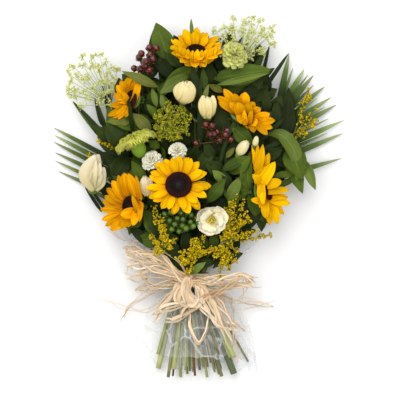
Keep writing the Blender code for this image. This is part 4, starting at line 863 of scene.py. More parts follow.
LEAF_VEINS = ((0.12, 0.17, 0.02), 7)
MATERIALS = {
    # Both ray colours darken to orange-brown at the root: painted shade where the rays meet the disc and lie over each
    # other. The darker lengthwise streaks are the rays' own veins, laid on strongly to add painted shade between the
    # rays.
    "ray": grown_material(
        "sunflower_ray", ((0.0, (0.50, 0.16, 0)), (0.18, (0.76, 0.35, 0)), (0.5, (0.88, 0.49, 0)), (1.0, (0.90, 0.54, 0.001))),
        (0.66, 0.26, 0), streak_share=0.7, streak_scale=8, vary=0.22, roughness=0.75, bump=0.9, specular=0.04),
    "ray_orange": grown_material(
        "sunflower_ray_orange", ((0.0, (0.36, 0.08, 0)), (0.2, (0.62, 0.22, 0)), (0.6, (0.80, 0.36, 0)), (1.0, (0.86, 0.44, 0.001))),
        (0.50, 0.15, 0), streak_share=0.7, streak_scale=8, vary=0.28, roughness=0.75, bump=0.9, specular=0.04),
    "disc": grown_material(
        "sunflower_disc", ((0.0, (0.030, 0.022, 0.022)), (0.50, (0.022, 0.012, 0.012)), (0.60, (0.030, 0.008, 0.005)),
                           (0.85, (0.034, 0.006, 0.004)), (1.0, (0.045, 0.010, 0.004))),
        (0.010, 0.005, 0.005), vary=0.5, roughness=0.85, bump=0.4, specular=0.15),
    "sunflower_stem": grown_material(
        "sunflower_stem", ((0.0, (0.56, 0.60, 0.26)), (0.14, (0.30, 0.36, 0.07)), (0.3, (0.14, 0.19, 0.025)),
                           (1.0, (0.07, 0.12, 0.012))),
        (0.07, 0.12, 0.02), streak_scale=9, vary=0.2, roughness=0.55, bump=0.5, patch=(0.24, 0.28, 0.10)),
    "stem": grown_material(
        "fine_stem", ((0.0, (0.46, 0.48, 0.22)), (0.14, (0.22, 0.26, 0.06)), (0.3, (0.09, 0.14, 0.018)),
                       (1.0, (0.06, 0.11, 0.012))),
        (0.05, 0.07, 0.012), streak_scale=6, vary=0.5, roughness=0.5, bump=0.3, patch=(0.16, 0.18, 0.05)),
    "olive_stem": grown_material(
        "olive_stem", ((0.0, (0.30, 0.28, 0.13)), (0.2, (0.14, 0.14, 0.04)), (0.4, (0.07, 0.09, 0.015)),
                       (1.0, (0.05, 0.09, 0.010))),
        (0.05, 0.05, 0.012), streak_scale=6, vary=0.5, roughness=0.5, bump=0.4, patch=(0.10, 0.08, 0.03)),
    "dark_stem": grown_material(
        "dark_stem", ((0.0, (0.16, 0.19, 0.10)), (0.2, (0.05, 0.07, 0.03)), (1.0, (0.035, 0.065, 0.010))),
        (0.02, 0.05, 0.01), streak_scale=6, vary=0.35, roughness=0.5, bump=0.3, patch=(0.10, 0.13, 0.04)),
    "woody": grown_material(
        "woody_stem", ((0.0, (0.17, 0.07, 0.035)), (0.4, (0.11, 0.05, 0.025)), (1.0, (0.07, 0.05, 0.02))),
        (0.05, 0.02, 0.01), streak_scale=6, vary=0.3, roughness=0.6, bump=0.5),
    "leaf": grown_material(
        "broad_leaf", ((0.0, (0.046, 0.080, 0.006)), (0.5, (0.060, 0.105, 0.007)), (1.0, (0.085, 0.135, 0.010))),
        (0.026, 0.048, 0.004), streak_scale=5, vary=0.45, roughness=0.6, bump=0.6, patch=(0.12, 0.165, 0.015),
        veins=LEAF_VEINS),
    "leaf_pale": grown_material(
        "pale_leaf", ((0.0, (0.09, 0.14, 0.014)), (0.5, (0.13, 0.19, 0.022)), (1.0, (0.17, 0.23, 0.032))),
        (0.06, 0.09, 0.010), streak_scale=5, vary=0.35, roughness=0.55, bump=0.6, patch=(0.16, 0.23, 0.06),
        veins=((0.22, 0.27, 0.06), 8)),
    "olive": grown_material(
        "olive_leaf", ((0.0, (0.11, 0.12, 0.012)), (0.5, (0.15, 0.165, 0.018)), (1.0, (0.18, 0.20, 0.026))),
        (0.08, 0.08, 0.010), streak_scale=5, vary=0.3, roughness=0.6, bump=0.6, patch=(0.16, 0.19, 0.06),
        veins=((0.22, 0.24, 0.06), 8)),
    # The shaded leaf colour is the broad leaf's colour at about a third of its brightness: painted shade, for leaves
    # that lie under the blooms and in the gaps.
    "dark": grown_material(
        "shaded_leaf", ((0.0, (0.014, 0.026, 0.003)), (0.5, (0.020, 0.036, 0.004)), (1.0, (0.028, 0.050, 0.005))),
        (0.008, 0.015, 0.002), streak_scale=5, vary=0.5, roughness=0.6, bump=0.6, patch=(0.045, 0.066, 0.006),
        veins=((0.04, 0.06, 0.008), 7)),
    "palm": grown_material(
        "palm_leaflet", ((0.0, (0.016, 0.030, 0.004)), (0.48, (0.032, 0.060, 0.008)), (0.74, (0.13, 0.20, 0.04)),
                         (1.0, (0.52, 0.58, 0.32))),
        (0.010, 0.020, 0.003), streak_scale=16, vary=0.4, roughness=0.55, bump=0.6),
    "blade_dark": grown_material(
        "dark_blade", ((0.0, (0.010, 0.018, 0.003)), (0.5, (0.016, 0.030, 0.004)), (1.0, (0.024, 0.045, 0.006))),
        (0.006, 0.010, 0.002), streak_scale=16, vary=0.3, roughness=0.55, bump=0.6),
    "rose_pale": grown_material(
        "pale_cream_petal", ((0.0, (0.52, 0.48, 0.22)), (0.4, (0.66, 0.58, 0.34)), (1.0, (0.72, 0.66, 0.50))),
        (0.78, 0.62, 0.34), streak_share=0.5, streak_scale=4, vary=0.2, roughness=0.7, bump=0.15,
        subsurface=0.1, specular=0.08),
    "cream_bud": grown_material(
        "cream_bud_petal", ((0.0, (0.46, 0.46, 0.14)), (0.3, (0.74, 0.64, 0.32)), (1.0, (0.84, 0.74, 0.48))),
        (0.66, 0.56, 0.26), streak_share=0.4, streak_scale=5, vary=0.1, roughness=0.7, bump=0.2,
        subsurface=0.1, specular=0.08),
    "rose": grown_material(
        "cream_petal", ((0.0, (0.62, 0.54, 0.18)), (0.35, (0.72, 0.57, 0.24)), (0.8, (0.76, 0.64, 0.33)),
                        (1.0, (0.80, 0.69, 0.40))),
        (0.82, 0.62, 0.28), streak_share=0.3, streak_scale=4, vary=0.06, roughness=0.7, bump=0.15,
        subsurface=0.1, specular=0.08),
    "rose_pink": grown_material(
        "blush_petal", ((0.0, (0.74, 0.52, 0.26)), (0.5, (0.82, 0.64, 0.38)), (1.0, (0.84, 0.70, 0.48))),
        (0.88, 0.56, 0.38), streak_share=0.35, streak_scale=4, vary=0.1, roughness=0.6, bump=0.15,
        subsurface=0.15, specular=0.2),
    "white": grown_material(
        "white_petal", ((0.0, (0.50, 0.52, 0.10)), (0.18, (0.70, 0.62, 0.24)), (0.5, (0.80, 0.74, 0.50)),
                        (1.0, (0.84, 0.79, 0.62))),
        (0.74, 0.64, 0.34), streak_share=0.5, streak_scale=6, vary=0.12, roughness=0.7, bump=0.25,
        subsurface=0.05, specular=0.06),
    "spray": grown_material(
        "spray_petal", ((0.0, (0.60, 0.58, 0.20)), (0.3, (0.86, 0.80, 0.52)), (1.0, (0.93, 0.89, 0.72))),
        (0.84, 0.76, 0.46), streak_share=0.4, streak_scale=6, vary=0.06, roughness=0.7, bump=0.2,
        subsurface=0.1, specular=0.06),
    "lime": grown_material(
        "lime_petal", ((0.0, (0.24, 0.30, 0.015)), (0.5, (0.50, 0.52, 0.035)), (1.0, (0.68, 0.67, 0.13))),
        (0.34, 0.38, 0.02), streak_share=0.5, streak_scale=8, vary=0.2, roughness=0.7, bump=0.3,
        subsurface=0.06, specular=0.06),
    "lime_pale": grown_material(
        "pale_lime_petal", ((0.0, (0.34, 0.40, 0.04)), (0.5, (0.62, 0.64, 0.12)), (1.0, (0.80, 0.80, 0.28))),
        (0.46, 0.50, 0.06), streak_share=0.5, streak_scale=8, vary=0.15, roughness=0.7, bump=0.3,
        subsurface=0.06, specular=0.06),
    "lime_calyx": grown_material(
        "lime_calyx", ((0.0, (0.10, 0.18, 0.015)), (0.5, (0.20, 0.34, 0.02)), (1.0, (0.32, 0.46, 0.04))),
        (0.12, 0.22, 0.015), streak_scale=6, vary=0.1, roughness=0.45, bump=0.2),
    "berry_red": grown_material(
        "red_berry", ((0.0, (0.04, 0.012, 0.006)), (0.2, (0.080, 0.001, 0.003)), (0.85, (0.10, 0.002, 0.004)),
                      (1.0, (0.02, 0.005, 0.004))),
        (0.04, 0.001, 0.002), streak_scale=3, vary=0.35, roughness=0.2, bump=0.1, coat=0.5, specular=0.5),
    "berry_green": grown_material(
        "green_berry", ((0.0, (0.02, 0.04, 0.004)), (0.35, (0.05, 0.11, 0.005)), (0.85, (0.10, 0.20, 0.008)),
                        (1.0, (0.14, 0.18, 0.02))),
        (0.05, 0.09, 0.006), streak_scale=3, vary=0.3, roughness=0.28, bump=0.1, coat=0.4, specular=0.5),
    "goldenrod": grown_material(
        "goldenrod_floret", ((0.0, (0.30, 0.28, 0.004)), (0.4, (0.62, 0.42, 0.004)), (1.0, (0.88, 0.64, 0.012))),
        (0.30, 0.30, 0.01), vary=0.4, roughness=0.8, bump=0.3, specular=0.05),
    "froth": grown_material(
        "lime_floret", ((0.0, (0.16, 0.20, 0.010)), (0.5, (0.40, 0.38, 0.018)), (1.0, (0.66, 0.60, 0.035))),
        (0.20, 0.24, 0.012), vary=0.4, roughness=0.8, bump=0.2, specular=0.05),
    "froth_pale": grown_material(
        "pale_lime_floret", ((0.0, (0.52, 0.58, 0.14)), (0.5, (0.76, 0.78, 0.28)), (1.0, (0.88, 0.87, 0.48))),
        (0.44, 0.52, 0.12), vary=0.25, roughness=0.8, bump=0.2, specular=0.05),
    "fine_stalk": grown_material(
        "fine_stalk", ((0.0, (0.24, 0.30, 0.05)), (1.0, (0.60, 0.66, 0.26))), (0.18, 0.24, 0.05),
        vary=0.2, roughness=0.6),
    "raffia": grown_material(
        "raffia_fibre", ((0.0, (0.62, 0.40, 0.21)), (0.35, (0.86, 0.66, 0.43)), (1.0, (0.96, 0.83, 0.64))),
        (0.56, 0.33, 0.15), streak_share=0.55, streak_scale=14, vary=0.28, roughness=0.8, bump=0.9, specular=0.08),
    "stamen": grown_material(
        "stamen", ((0.0, (0.35, 0.38, 0.03)), (1.0, (0.76, 0.56, 0.05))), (0.30, 0.36, 0.04), vary=0.2,
        roughness=0.6),
    "film": film_material(),
}


# Stems, leaves and palms

WOODY = ("hypericum_left", "hypericum_centre", "hypericum_green")
DARK_STEMS = ("greens_right", "greens_upper_right", "greens_centre", "palm_right", "palm_centre", "umbel_top",
              "sunflower_upper_right", "greens_left")


def stem_piece(name, material, nodes, sides=10):
    path = list(paths[name])
    rng = random.Random(name + "_cut")
    slim = rng.uniform(0.72, 1.0)
    longer = (path[0] - path[1]).normalized() * rng.choice((-26, -14, -6, 4, 9))
    path[0] = path[0] + longer + Vector(((path[0].x - TIE.x) * 0.12, 0, 0))
    path[0].y = max(path[0].y, LOW.y + rng.uniform(1, 7))
    path = through(path, 5)
    thick, thin = stem_radii(name)
    last = len(path) - 1
    radii = []
    for i in range(last + 1):
        share = max(i / last - 0.15, 0) / 0.85
        radii.append((thick + (thin - thick) * share) * slim * (1 + 0.03 * math.sin(i * 1.7)))
    batch = Batch()
    batch.tube(path, radii, sides, ridges=0.06)
    if name in DARK_STEMS:
        material = "dark_stem"
    elif material == "stem":
        material = rng.choice(("stem", "olive_stem", "olive_stem"))
    if name in WOODY:
        material = "woody"
    return piece(name + "_stalk", batch, material, nodes)


def blade_rows(route, half, cols, cup=0.0, ruffle=0.0, waves=3.0, phase=0.0, pleats=0.0, pleat=0.0, twist=0.0,
               up=UP):
    """A thin blade's grid: half(t) is its half width at t along the route."""
    rows = []
    last = len(route) - 1
    for i, (point, direction) in enumerate(zip(route, tangents(route))):
        t = i / last
        side = direction.cross(up).normalized()
        face = side.cross(direction)
        turn = twist * t
        side, face = side * math.cos(turn) + face * math.sin(turn), face * math.cos(turn) - side * math.sin(turn)
        wide = half(t)
        row = []
        for c in range(cols):
            s = 2 * c / (cols - 1) - 1
            swing = math.sin(2 * math.pi * waves * t + phase + (1.9 if s > 0 else 0))
            lift = cup * wide * s * s + ruffle * s * s * swing * min(wide, 6) / 6
            lift += pleat * math.cos(math.pi * pleats * s)
            row.append(point + side * (s * wide) + face * lift)
        rows.append(row)
    return rows


def leaf_shape(half_width, point=0.9):
    def half(t):
        if t < 0.08:
            return 0.8
        s = (t - 0.08) / 0.92
        return 0.8 * (1 - s) + half_width * math.sin(math.pi * s**0.82) ** point
    return half


def fine_leaf(batch, route, half_width, rng, cols=9):
    shape = leaf_shape(half_width * 1.05)
    teeth = rng.choice((0, 0, 1))

    def half(t):
        return shape(t) * (1 + (0.05 * (int(t * 36) % 2) if teeth and 0.15 < t < 0.95 else 0))

    rows = blade_rows(route, half, cols, cup=rng.uniform(0.0, 0.22), ruffle=rng.uniform(0.6, 2.0),
                      waves=rng.uniform(1.2, 2.6), phase=rng.uniform(0, 6), pleats=1, pleat=-0.3,
                      twist=rng.uniform(-0.35, 0.35))
    batch.grid([[Vector((point.x, point.y, max(point.z, 0.6))) for point in row] for row in rows])


def chosen_leaves(node, wishes):
    """The leaves that the CAD node has: of each wish's choices, the one whose corners lie on the node."""
    cloud = KDTree(len(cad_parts[node].data.vertices))
    for i, vertex in enumerate(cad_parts[node].data.vertices):
        cloud.insert(vertex.co / MM - SHIFT, i)
    cloud.balance()
    found = []
    for wish in wishes:
        for start, end, half_width, arch in leaf_choices(*wish):
            if cloud.find(end)[2] > 0.05:
                continue
            side = (end - start).cross(UP).normalized() * half_width + UP * 1.5
            if cloud.find(arched(start, end, arch, 6)[3] + side)[2] < 0.2:
                found.append((start, end, half_width, arch))
                break
    return found


def home_of(point):
    """The leafy node that a leaf at this point belongs to."""
    if point.y < -30:
        return "greens_lower"
    if point.y < 110:
        return "greens_left" if point.x < -60 else ("greens_centre" if point.x < 90 else "greens_right")
    return "greens_upper_left" if point.x < -5 else ("greens_upper_right" if point.x < 110 else "greens_right")


def leaf_pieces():
    wishes = {}
    for host in LEAVES:
        for tip, half_width, arch, back in LEAVES[host]:
            wishes.setdefault(leafy_node(host), []).append((paths[host], tip, half_width, arch, back))
    for spot, host, wish in fill_wishes(paths):
        wishes.setdefault(leafy_node(host), []).append(wish)
    batches = {}

    def batch_of(node, material):
        return batches.setdefault((node, material), Batch())

    for node, list_of_wishes in wishes.items():
        rng = random.Random(node)
        for start, end, half_width, arch in chosen_leaves(node, list_of_wishes):
            # Half of these leaves take the shaded leaf colour: painted shade inside the bunch.
            material = rng.choice(("leaf", "leaf", "dark", "dark"))
            fine_leaf(batch_of(node, material), arched(start, end, arch, 18), half_width, rng)
    rng = random.Random(5)
    for node, table in LEAVES_SEEN.items():
        for u, v, z, end_u, end_v, end_z, half_width, arch, material in table:
            route = arched(seen(u, v, z), seen(end_u, end_v, end_z), arch, 18)
            fine_leaf(batch_of(node, material), route, half_width, rng)
    route = through([seen(*point) for point in ARCHED_LEAF], 5)
    batch_of("greens_right", "leaf_pale").grid(
        blade_rows(route, leaf_shape(12, 0.7), 11, cup=-0.35, ruffle=0.8, waves=2, pleats=1, pleat=-0.4))
    for row, (v, left, right) in enumerate(DENSE):
        count = int((right - left) / DENSE_STEP)
        for i in range(count + 1):
            u = left + (right - left) * (i + 0.5 * (row % 2)) / (count + 0.5) + rng.uniform(-3, 3)
            middle = seen(u, v + rng.uniform(-3, 3), rng.uniform(24, 50))
            away = (middle - TIE).xy.normalized().to_3d()
            away = Matrix.Rotation(rng.uniform(-0.8, 0.8), 3, UP) @ away
            reach = away * rng.uniform(19, 26)
            tilt = UP * rng.uniform(-5, 7)
            route = arched(middle - reach - tilt, middle + reach + tilt, rng.uniform(2, 7), 10)
            # The dense leaves all take the shaded leaf colour: painted shade between the blooms.
            fine_leaf(batch_of(home_of(middle), "dark"), route, rng.uniform(8, 12), rng, cols=7)
    for (node, material), batch in batches.items():
        piece(node + "_" + material + "_leaves", batch, material, [node], thick=0.45)


def palm_pieces():
    for name in PALM_TIPS:
        rng = random.Random(name)
        batch = Batch()
        leaflets = [(along(paths[name], share), Vector(tip), LEAFLET_HALF_WIDTH * (1.0 if name == "palm_right" else 0.72))
                    for tip, share in PALM_TIPS[name]]
        if name == "palm_right":
            for (tip, share), (after, after_share) in zip(PALM_TIPS[name], PALM_TIPS[name][1:]):
                between = Vector(tip).lerp(Vector(after), rng.uniform(0.35, 0.65))
                if (Vector(tip) - Vector(after)).length < 40:
                    root = along(paths[name], (share + after_share) / 2)
                    leaflets.append((root, root.lerp(between, rng.uniform(0.82, 0.97)), 2.6))
        darker = Batch()
        drawn = [(seen(*row[:3]), seen(*row[3:6]), row[6]) for row in BLADES[name]]
        for k, (root, tip, half_width) in enumerate(leaflets + drawn):
            route = arched(root, tip, 2, 16)
            (darker if k >= len(leaflets) else batch).grid(blade_rows(
                route, lambda t: half_width * min(1.0, 0.3 + 3.2 * t) * (1 - t**4.5) + 0.15, 9, cup=0.12,
                pleats=4, pleat=0.35, ruffle=0.3, waves=1, phase=rng.uniform(0, 6)))
        piece(name + "_leaflets", batch, "palm", [name], thick=0.5)
        piece(name + "_blades", darker, "blade_dark", [name], thick=0.5)
        stem_piece(name, "stem", [name])


# Blooms

def local(middle, facing):
    """Turns a point of a bloom, which faces +Z, to its place in the sheaf."""
    points, faces = placed(([Vector((1, 0, 0)), Vector((0, 1, 0)), Vector((0, 0, 1))], []), (0, 0, 0), facing)
    turn = Matrix(points).transposed()
    middle = Vector(middle)
    return lambda point: turn @ point + middle


def stand(name):
    middle, facing, radius, height = STAND[name]
    return local(seen(*middle), facing), radius, height


def azimuth_of(name, way):
    """The azimuth round a bloom's axis of a direction in the sheaf."""
    to_place = stand(name)[0]
    middle = to_place(Vector((0, 0, 0)))
    way = Vector(way)
    return math.atan2(way.dot(to_place(Vector((0, 1, 0))) - middle), way.dot(to_place(Vector((1, 0, 0))) - middle))


def polar(radius, angle, height):
    return Vector((radius * math.cos(angle), radius * math.sin(angle), height))


def ray_half(half):
    def shape(t):
        if t < 0.5:
            return half * (0.40 + 0.60 * math.sin(math.pi / 2 * t / 0.5))
        return half * max(1 - ((t - 0.5) / 0.5) ** 3.0, 0.03) ** 0.8
    return shape


def ray(batch, route, half, rng, up=UP):
    """One ray: pleated lengthwise, with a waved edge and a slight twist."""
    batch.grid(blade_rows(
        route, ray_half(half), 11, cup=rng.uniform(0.0, 0.3), ruffle=rng.uniform(0.3, 1.1), waves=1.3,
        phase=rng.uniform(0, 6), pleats=2, pleat=0.4, twist=rng.uniform(-0.4, 0.4), up=up))


def drawn_rays(name, batch, rng):
    """The rays of a sunflower seen from its side: each from the rim of its disc, by its own root to its own tip."""
    middle, facing, reach, disc = SUNFLOWERS[name][:4]
    shift_x, shift_y = RAY_SHIFT.get(name, (0, 0))
    to_place = local(Vector(middle) + Vector((shift_x, shift_y, 0)), facing)
    rim = [to_place(polar(disc - 2.5, 2 * math.pi * i / 60, -3)) for i in range(60)]
    for u, v, end_u, end_v, half, rise in RAYS[name]:
        root = seen(u, v, 0)
        start = min(rim, key=lambda point: (point - root).xy.length)
        root.z = start.z + rise * 0.3
        tip = seen(end_u, end_v, start.z + rise)
        if (root - start).length < 5:
            root = start.lerp(tip, 0.25) + UP
        bend = (root + tip) / 2 + UP * rng.uniform(2, 6)
        ray(batch, through([start, root, bend, tip], 5), half, rng)


def ringed_rays(name, batch, rng, front):
    """The rays of a sunflower seen from in front, in layers. Those nearest the camera rise by front more."""
    middle, facing, reach, disc, cup, rays = SUNFLOWERS[name]
    to_place = local(middle, facing)
    layers = ((rays // 2 + 5, cup - 14, 1.02, -0.8), (rays // 2 + 6, cup - 4, 1.0, 0.3),
              (rays // 2 + 1, cup + 6, 0.88, 1.2))
    for layer, (count, rise, size, level) in enumerate(layers):
        for i in range(count):
            angle = 2 * math.pi * (i + 0.37 * layer + rng.uniform(-0.2, 0.2)) / count
            near = max(math.sin(angle), 0) ** 2
            tilt = math.radians(rise + front * near + rng.uniform(-7, 7))
            curl = rng.uniform(-0.5, 0.5)
            length = (reach - disc + 2) / math.cos(math.radians(cup)) * size * rng.uniform(0.84, 1.06)
            length *= 1 - 0.25 * near * (front < 0)
            outward = polar(1, angle, 0)
            sideways = polar(1, angle + math.pi / 2, 0) * rng.uniform(-0.16, 0.16)
            point = outward * (disc - 2.5) + UP * (-3.4 + level)
            route = [point]
            for step in range(12):
                now = tilt + curl * (step / 12 - 0.3)
                run = outward * math.cos(now) + UP * math.sin(now) + sideways * (step / 12)
                point = point + run * (length / 12)
                route.append(point)
            half = rng.uniform(5.6, 7.6)
            first = len(batch.points)
            ray(batch, route, half, rng)
            batch.points[first:] = [to_place(point) for point in batch.points[first:]]


def sunflower_pieces(name):
    middle, facing, reach, disc, cup, rays = SUNFLOWERS[name]
    rng = random.Random(name + "_fine")
    petals = Batch()
    if name == "sunflower_top":
        ringed_rays(name, petals, rng, 6)
        drawn_rays(name, petals, rng)
        disc_middle = Vector(middle)
    elif name in RAYS:
        drawn_rays(name, petals, rng)
        shift_x, shift_y = RAY_SHIFT.get(name, (0, 0))
        disc_middle = Vector(middle) + Vector((shift_x, shift_y, 0))
    else:
        ringed_rays(name, petals, rng, 6)
        disc_middle = Vector(middle)
    material = "ray" if name in ("sunflower_centre", "sunflower_top", "sunflower_right") else "ray_orange"
    piece(name + "_petals", petals, material, [name + "_rays"], thick=0.35)

    to_place = local(disc_middle, facing)
    florets = Batch()
    dome = [(0, 1.4), (0.25, 1.5), (0.5, 2.3), (0.72, 3.0), (0.9, 2.2), (1.0, 0.6), (0.96, -1.7)]
    rows = []
    for radius, height in dome:
        rows.append([to_place(polar(max(radius * disc, 0.01), 2 * math.pi * i / 40, height)) for i in range(40)])
    florets.grid(rows, closed=True, along=[radius for radius, height in dome])
    count = int(disc * disc * 1.15)
    for i in range(count):
        share = math.sqrt((i + 0.5) / count)
        angle = i * 2.39996
        height = 1.5 + 1.6 * math.sin(math.pi * min(share / 1.05, 1)) ** 1.5 if share > 0.2 else 1.5
        tall = rng.uniform(0.9, 1.5) * (1.0 + 1.1 * (0.45 < share < 0.97))
        foot = polar(share * disc * 0.97, angle, height - 0.6)
        lean = polar(0.5 * share, angle, tall)
        corners = [foot + polar(0.72, angle + k * math.pi / 2, 0) for k in range(4)]
        points = [to_place(point) for point in (*corners, foot + lean)]
        florets.solid(points, [(0, 1, 4), (1, 2, 4), (2, 3, 4), (3, 0, 4)], v=share)
    piece(name + "_florets", florets, "disc", [name + "_disc"], smooth=False)

    to_place = local(middle, facing)
    green = Batch()
    cup_rows = []
    for radius, height in ((4.4, -17), (disc * 0.7, -12.5), (disc * 0.98, -8.5), (disc * 0.96, -5.6), (1, -5.2)):
        cup_rows.append([to_place(polar(radius, 2 * math.pi * i / 24, height)) for i in range(24)])
    green.grid(cup_rows, closed=True)
    bracts = Batch()
    for i in range(20):
        angle = 2 * math.pi * (i + rng.uniform(-0.2, 0.2)) / 20
        outward = polar(1, angle, 0)
        low = -9.5 - 2.5 * (i % 2)
        reach = rng.uniform(3, 8) if name in RAYS else rng.uniform(8, 13)
        tip = outward * (disc + reach) + UP * (low - rng.uniform(0, 4))
        route = through([outward * (disc * 0.6) + UP * (low - 1.5), outward * (disc * 0.95) + UP * low, tip], 5)
        rows = blade_rows(route, lambda t: 4.8 * (1 - t**1.6) + 0.1, 5, cup=-0.15)
        bracts.grid([[to_place(point) for point in row] for row in rows])
    # The bracts of every sunflower but the centre one take the shaded leaf colour: painted shade under the heads.
    piece(name + "_bracts", bracts, "leaf" if name == "sunflower_centre" else "dark", [name + "_green"], thick=0.5)
    piece(name + "_cup", green, "sunflower_stem", [name + "_green"])
    stem_piece(name, "sunflower_stem", [name + "_green"], sides=14)


def rose_petal(batch, to_place, azimuth, width, profile, half_angle, ruffle, rng):
    """A petal that wraps round the middle. Its profile gives radius and height from foot to rim."""
    route = through([Vector((radius, 0, height)) for radius, height in profile], 4)
    phase = rng.uniform(0, 6)
    last = len(route) - 1
    lean = rng.uniform(-0.12, 0.12)
    rows = []
    for r, spot in enumerate(route):
        t = r / last
        row = []
        for c in range(13):
            s = 2 * c / 12 - 1
            spread = math.sin(math.pi / 2 * min(0.3 + 1.2 * t, 1))
            radius = spot.x * (1 + 0.06 * s) + ruffle * t * t * math.sin(2.6 * math.pi * s + phase)
            drop = (spot.z - route[0].z) * 0.14 * (s + lean) ** 2 * t * t
            row.append(to_place(polar(max(radius, 0.2), azimuth + s * half_angle * spread, spot.z - drop)))
        rows.append(row)
    batch.grid(rows)


def rose_pieces(name):
    to_place, radius, height = stand(name)
    opening = ROSES[name][5]
    rng = random.Random(name + "_fine")
    half = height / 2
    batch = Batch()
    white = name.startswith("lis")
    if opening > 0.6:
        for layer, (count, spread, rise, wide) in enumerate(((5, 1.16, 0.1, 0.78), (3, 0.78, 0.6, 0.62))):
            for i in range(count):
                azimuth = 2 * math.pi * (i + 0.5 * layer + rng.uniform(-0.16, 0.16)) / count
                outward = polar(1, azimuth, 0)
                reach = radius * spread * rng.uniform(0.86, 1.08) * (1 + 0.2 * abs(math.sin(azimuth + 0.3)))
                route = through([outward * 2 - UP * half * 0.6, outward * reach * 0.5 + UP * half * (rise - 0.3),
                                 outward * reach + UP * half * (rise + rng.uniform(-0.2, 0.2))], 7)
                full = radius * wide * rng.uniform(0.95, 1.15)
                rows = blade_rows(route, lambda t: full * (0.22 + 0.78 * math.sin(math.pi / 2 * min(t * 1.25, 1)))
                                  * math.sqrt(max(1 - max(t - 0.62, 0) ** 2 * 5.6, 0.08)), 13,
                                  cup=rng.uniform(0.1, 0.35), ruffle=3.4, waves=1.8, phase=rng.uniform(0, 6))
                for c, point in enumerate(rows[-1]):
                    rows[-1][c] = point + outward * rng.uniform(-0.8, 0.8)
                batch.grid([[to_place(point) for point in row] for row in rows])
        piece(name + "_petals", batch, "white", [name + "_bloom"], thick=0.4)
        heart = Batch()
        for i in range(13):
            angle = i * 2.39996
            foot = polar(0.8, angle, -half * 0.5)
            top = polar(4.6 if i > 3 else 1.6, angle, half * (0.75 if i > 3 else 0.95))
            heart.tube([to_place(foot), to_place((foot + top) / 2), to_place(top)], [0.6, 0.5, 1.4], 6)
        piece(name + "_heart", heart, "stamen", [name + "_bloom"])
        return
    for inner, turns, rim_share in ((0.78, 4, 0.30), (1.0, 4, 0.46)):
        for i in range(turns):
            azimuth = 2 * math.pi * i / turns + (0.6 if inner < 1 else rng.uniform(0, 0.3))
            full = radius * inner
            top = half * (1.0 if inner < 1 else rng.uniform(0.80, 0.95))
            profile = ((full * 0.35, -half), (full * 0.9, -half * 0.55), (full, -half * 0.02),
                       (full * 0.86, half * 0.5), (full * rim_share, top))
            rose_petal(batch, to_place, azimuth, full, profile, 1.22, radius * 0.03, rng)
    for foot, belly, tip, half_width, roll in PETALS.get(name, ()):
        route = through([seen(*foot), seen(*belly), seen(*tip)], 7)
        batch.grid(blade_rows(
            route, lambda t: half_width * (0.4 + 0.6 * math.sin(math.pi / 2 * min(t * 1.7, 1)))
            * max(1 - (max(t - 0.6, 0) / 0.4) ** 2 * 0.75, 0.1), 13, cup=roll, ruffle=0.9, waves=1.1,
            phase=rng.uniform(0, 6)))
    if white:
        piece(name + "_petals", batch, "cream_bud", [name + "_bloom"], thick=0.4)
    else:
        material = {"rose_mid": "rose_pink", "rose_left": "rose_pale"}.get(name, "rose")
        piece(name + "_petals", batch, material, [name + "_bloom"], thick=0.4)


def carnation_pieces(name):
    to_place, radius, height = stand(name)
    flat = height < radius * 0.5
    rng = random.Random(name + "_fine")
    batch = Batch()
    count = 90 if flat else (54 if radius > 18 else 36)
    for i in range(count):
        share = (i + 0.5) / count
        azimuth = i * 2.39996
        lean = math.radians(20 + 76 * share**0.6 if flat else 10 + 84 * share**0.8)
        outward = polar(1, azimuth, 0)
        length = radius * rng.uniform(0.72 if flat else 0.84, 1.0) * ((0.42 + 0.58 * share) if flat else (0.9 + 0.1 * share))
        base = outward * (radius * 0.1 * share) - UP * (radius * (0.16 if flat else 0.30 + 0.1 * share))
        route = []
        for step in range(10):
            t = step / 9
            now = lean * (0.35 + 0.65 * t)
            route.append(base + (outward * math.sin(now) + UP * math.cos(now)) * (length * t * 1.12))
        wide = radius * rng.uniform(0.24, 0.38)
        phase = rng.uniform(0, 6)
        waves = rng.uniform(5, 8)
        ripple = rng.uniform(0.10, 0.17) if flat else 0.10
        last = len(route) - 1
        rows = blade_rows(route, lambda t: wide * (0.14 + 0.86 * t**1.3), 17, cup=0.1,
                          up=UP if lean > 0.6 else outward)
        for r, row in enumerate(rows):
            t = r / last
            for c, point in enumerate(row):
                s = 2 * c / 16 - 1
                away = outward * math.cos(lean) - UP * math.sin(lean)
                row[c] = point + away * (radius * ripple * t * t * math.sin(waves * math.pi * s + phase))
                if r == last:
                    along_it = (route[-1] - route[-2]).normalized()
                    row[c] = row[c] + along_it * (radius * (0.07 * (c % 2) - 0.16 * s * s))
        batch.grid([[to_place(point) for point in row] for row in rows])
    material = {"carnation_left": "lime", "carnation_top": "lime_pale"}.get(name, "spray")
    piece(name + "_petals", batch, material, [name + "_bloom"], thick=0.3)


def calyx_rows(batch, name, depth, radius, tall):
    """A green cup under a bloom, with pointed lobes round its rim. Returns its foot."""
    to_place = stand(name)[0]
    rows = []
    for share, out in ((0.0, 0.25), (0.12, 0.62), (0.4, 0.95), (0.75, 1.0), (1.0, 0.92)):
        rows.append([to_place(polar(radius * out, 2 * math.pi * i / 20, -depth - 6 + (tall + 6) * share))
                     for i in range(20)])
    batch.grid(rows, closed=True)
    for i in range(5):
        outward = polar(1, 2 * math.pi * i / 5, 0)
        rim = -depth + tall
        route = through([outward * radius * 0.9 + UP * (rim - 3), outward * radius * 1.15 + UP * (rim + 2),
                         outward * radius * 1.5 + UP * (rim + 7)], 4)
        rows = blade_rows(route, lambda t: radius * 0.5 * (1 - t**1.5) + 0.1, 5, cup=0.2)
        batch.grid([[to_place(point) for point in row] for row in rows])
    return to_place(UP * (-depth - 5))


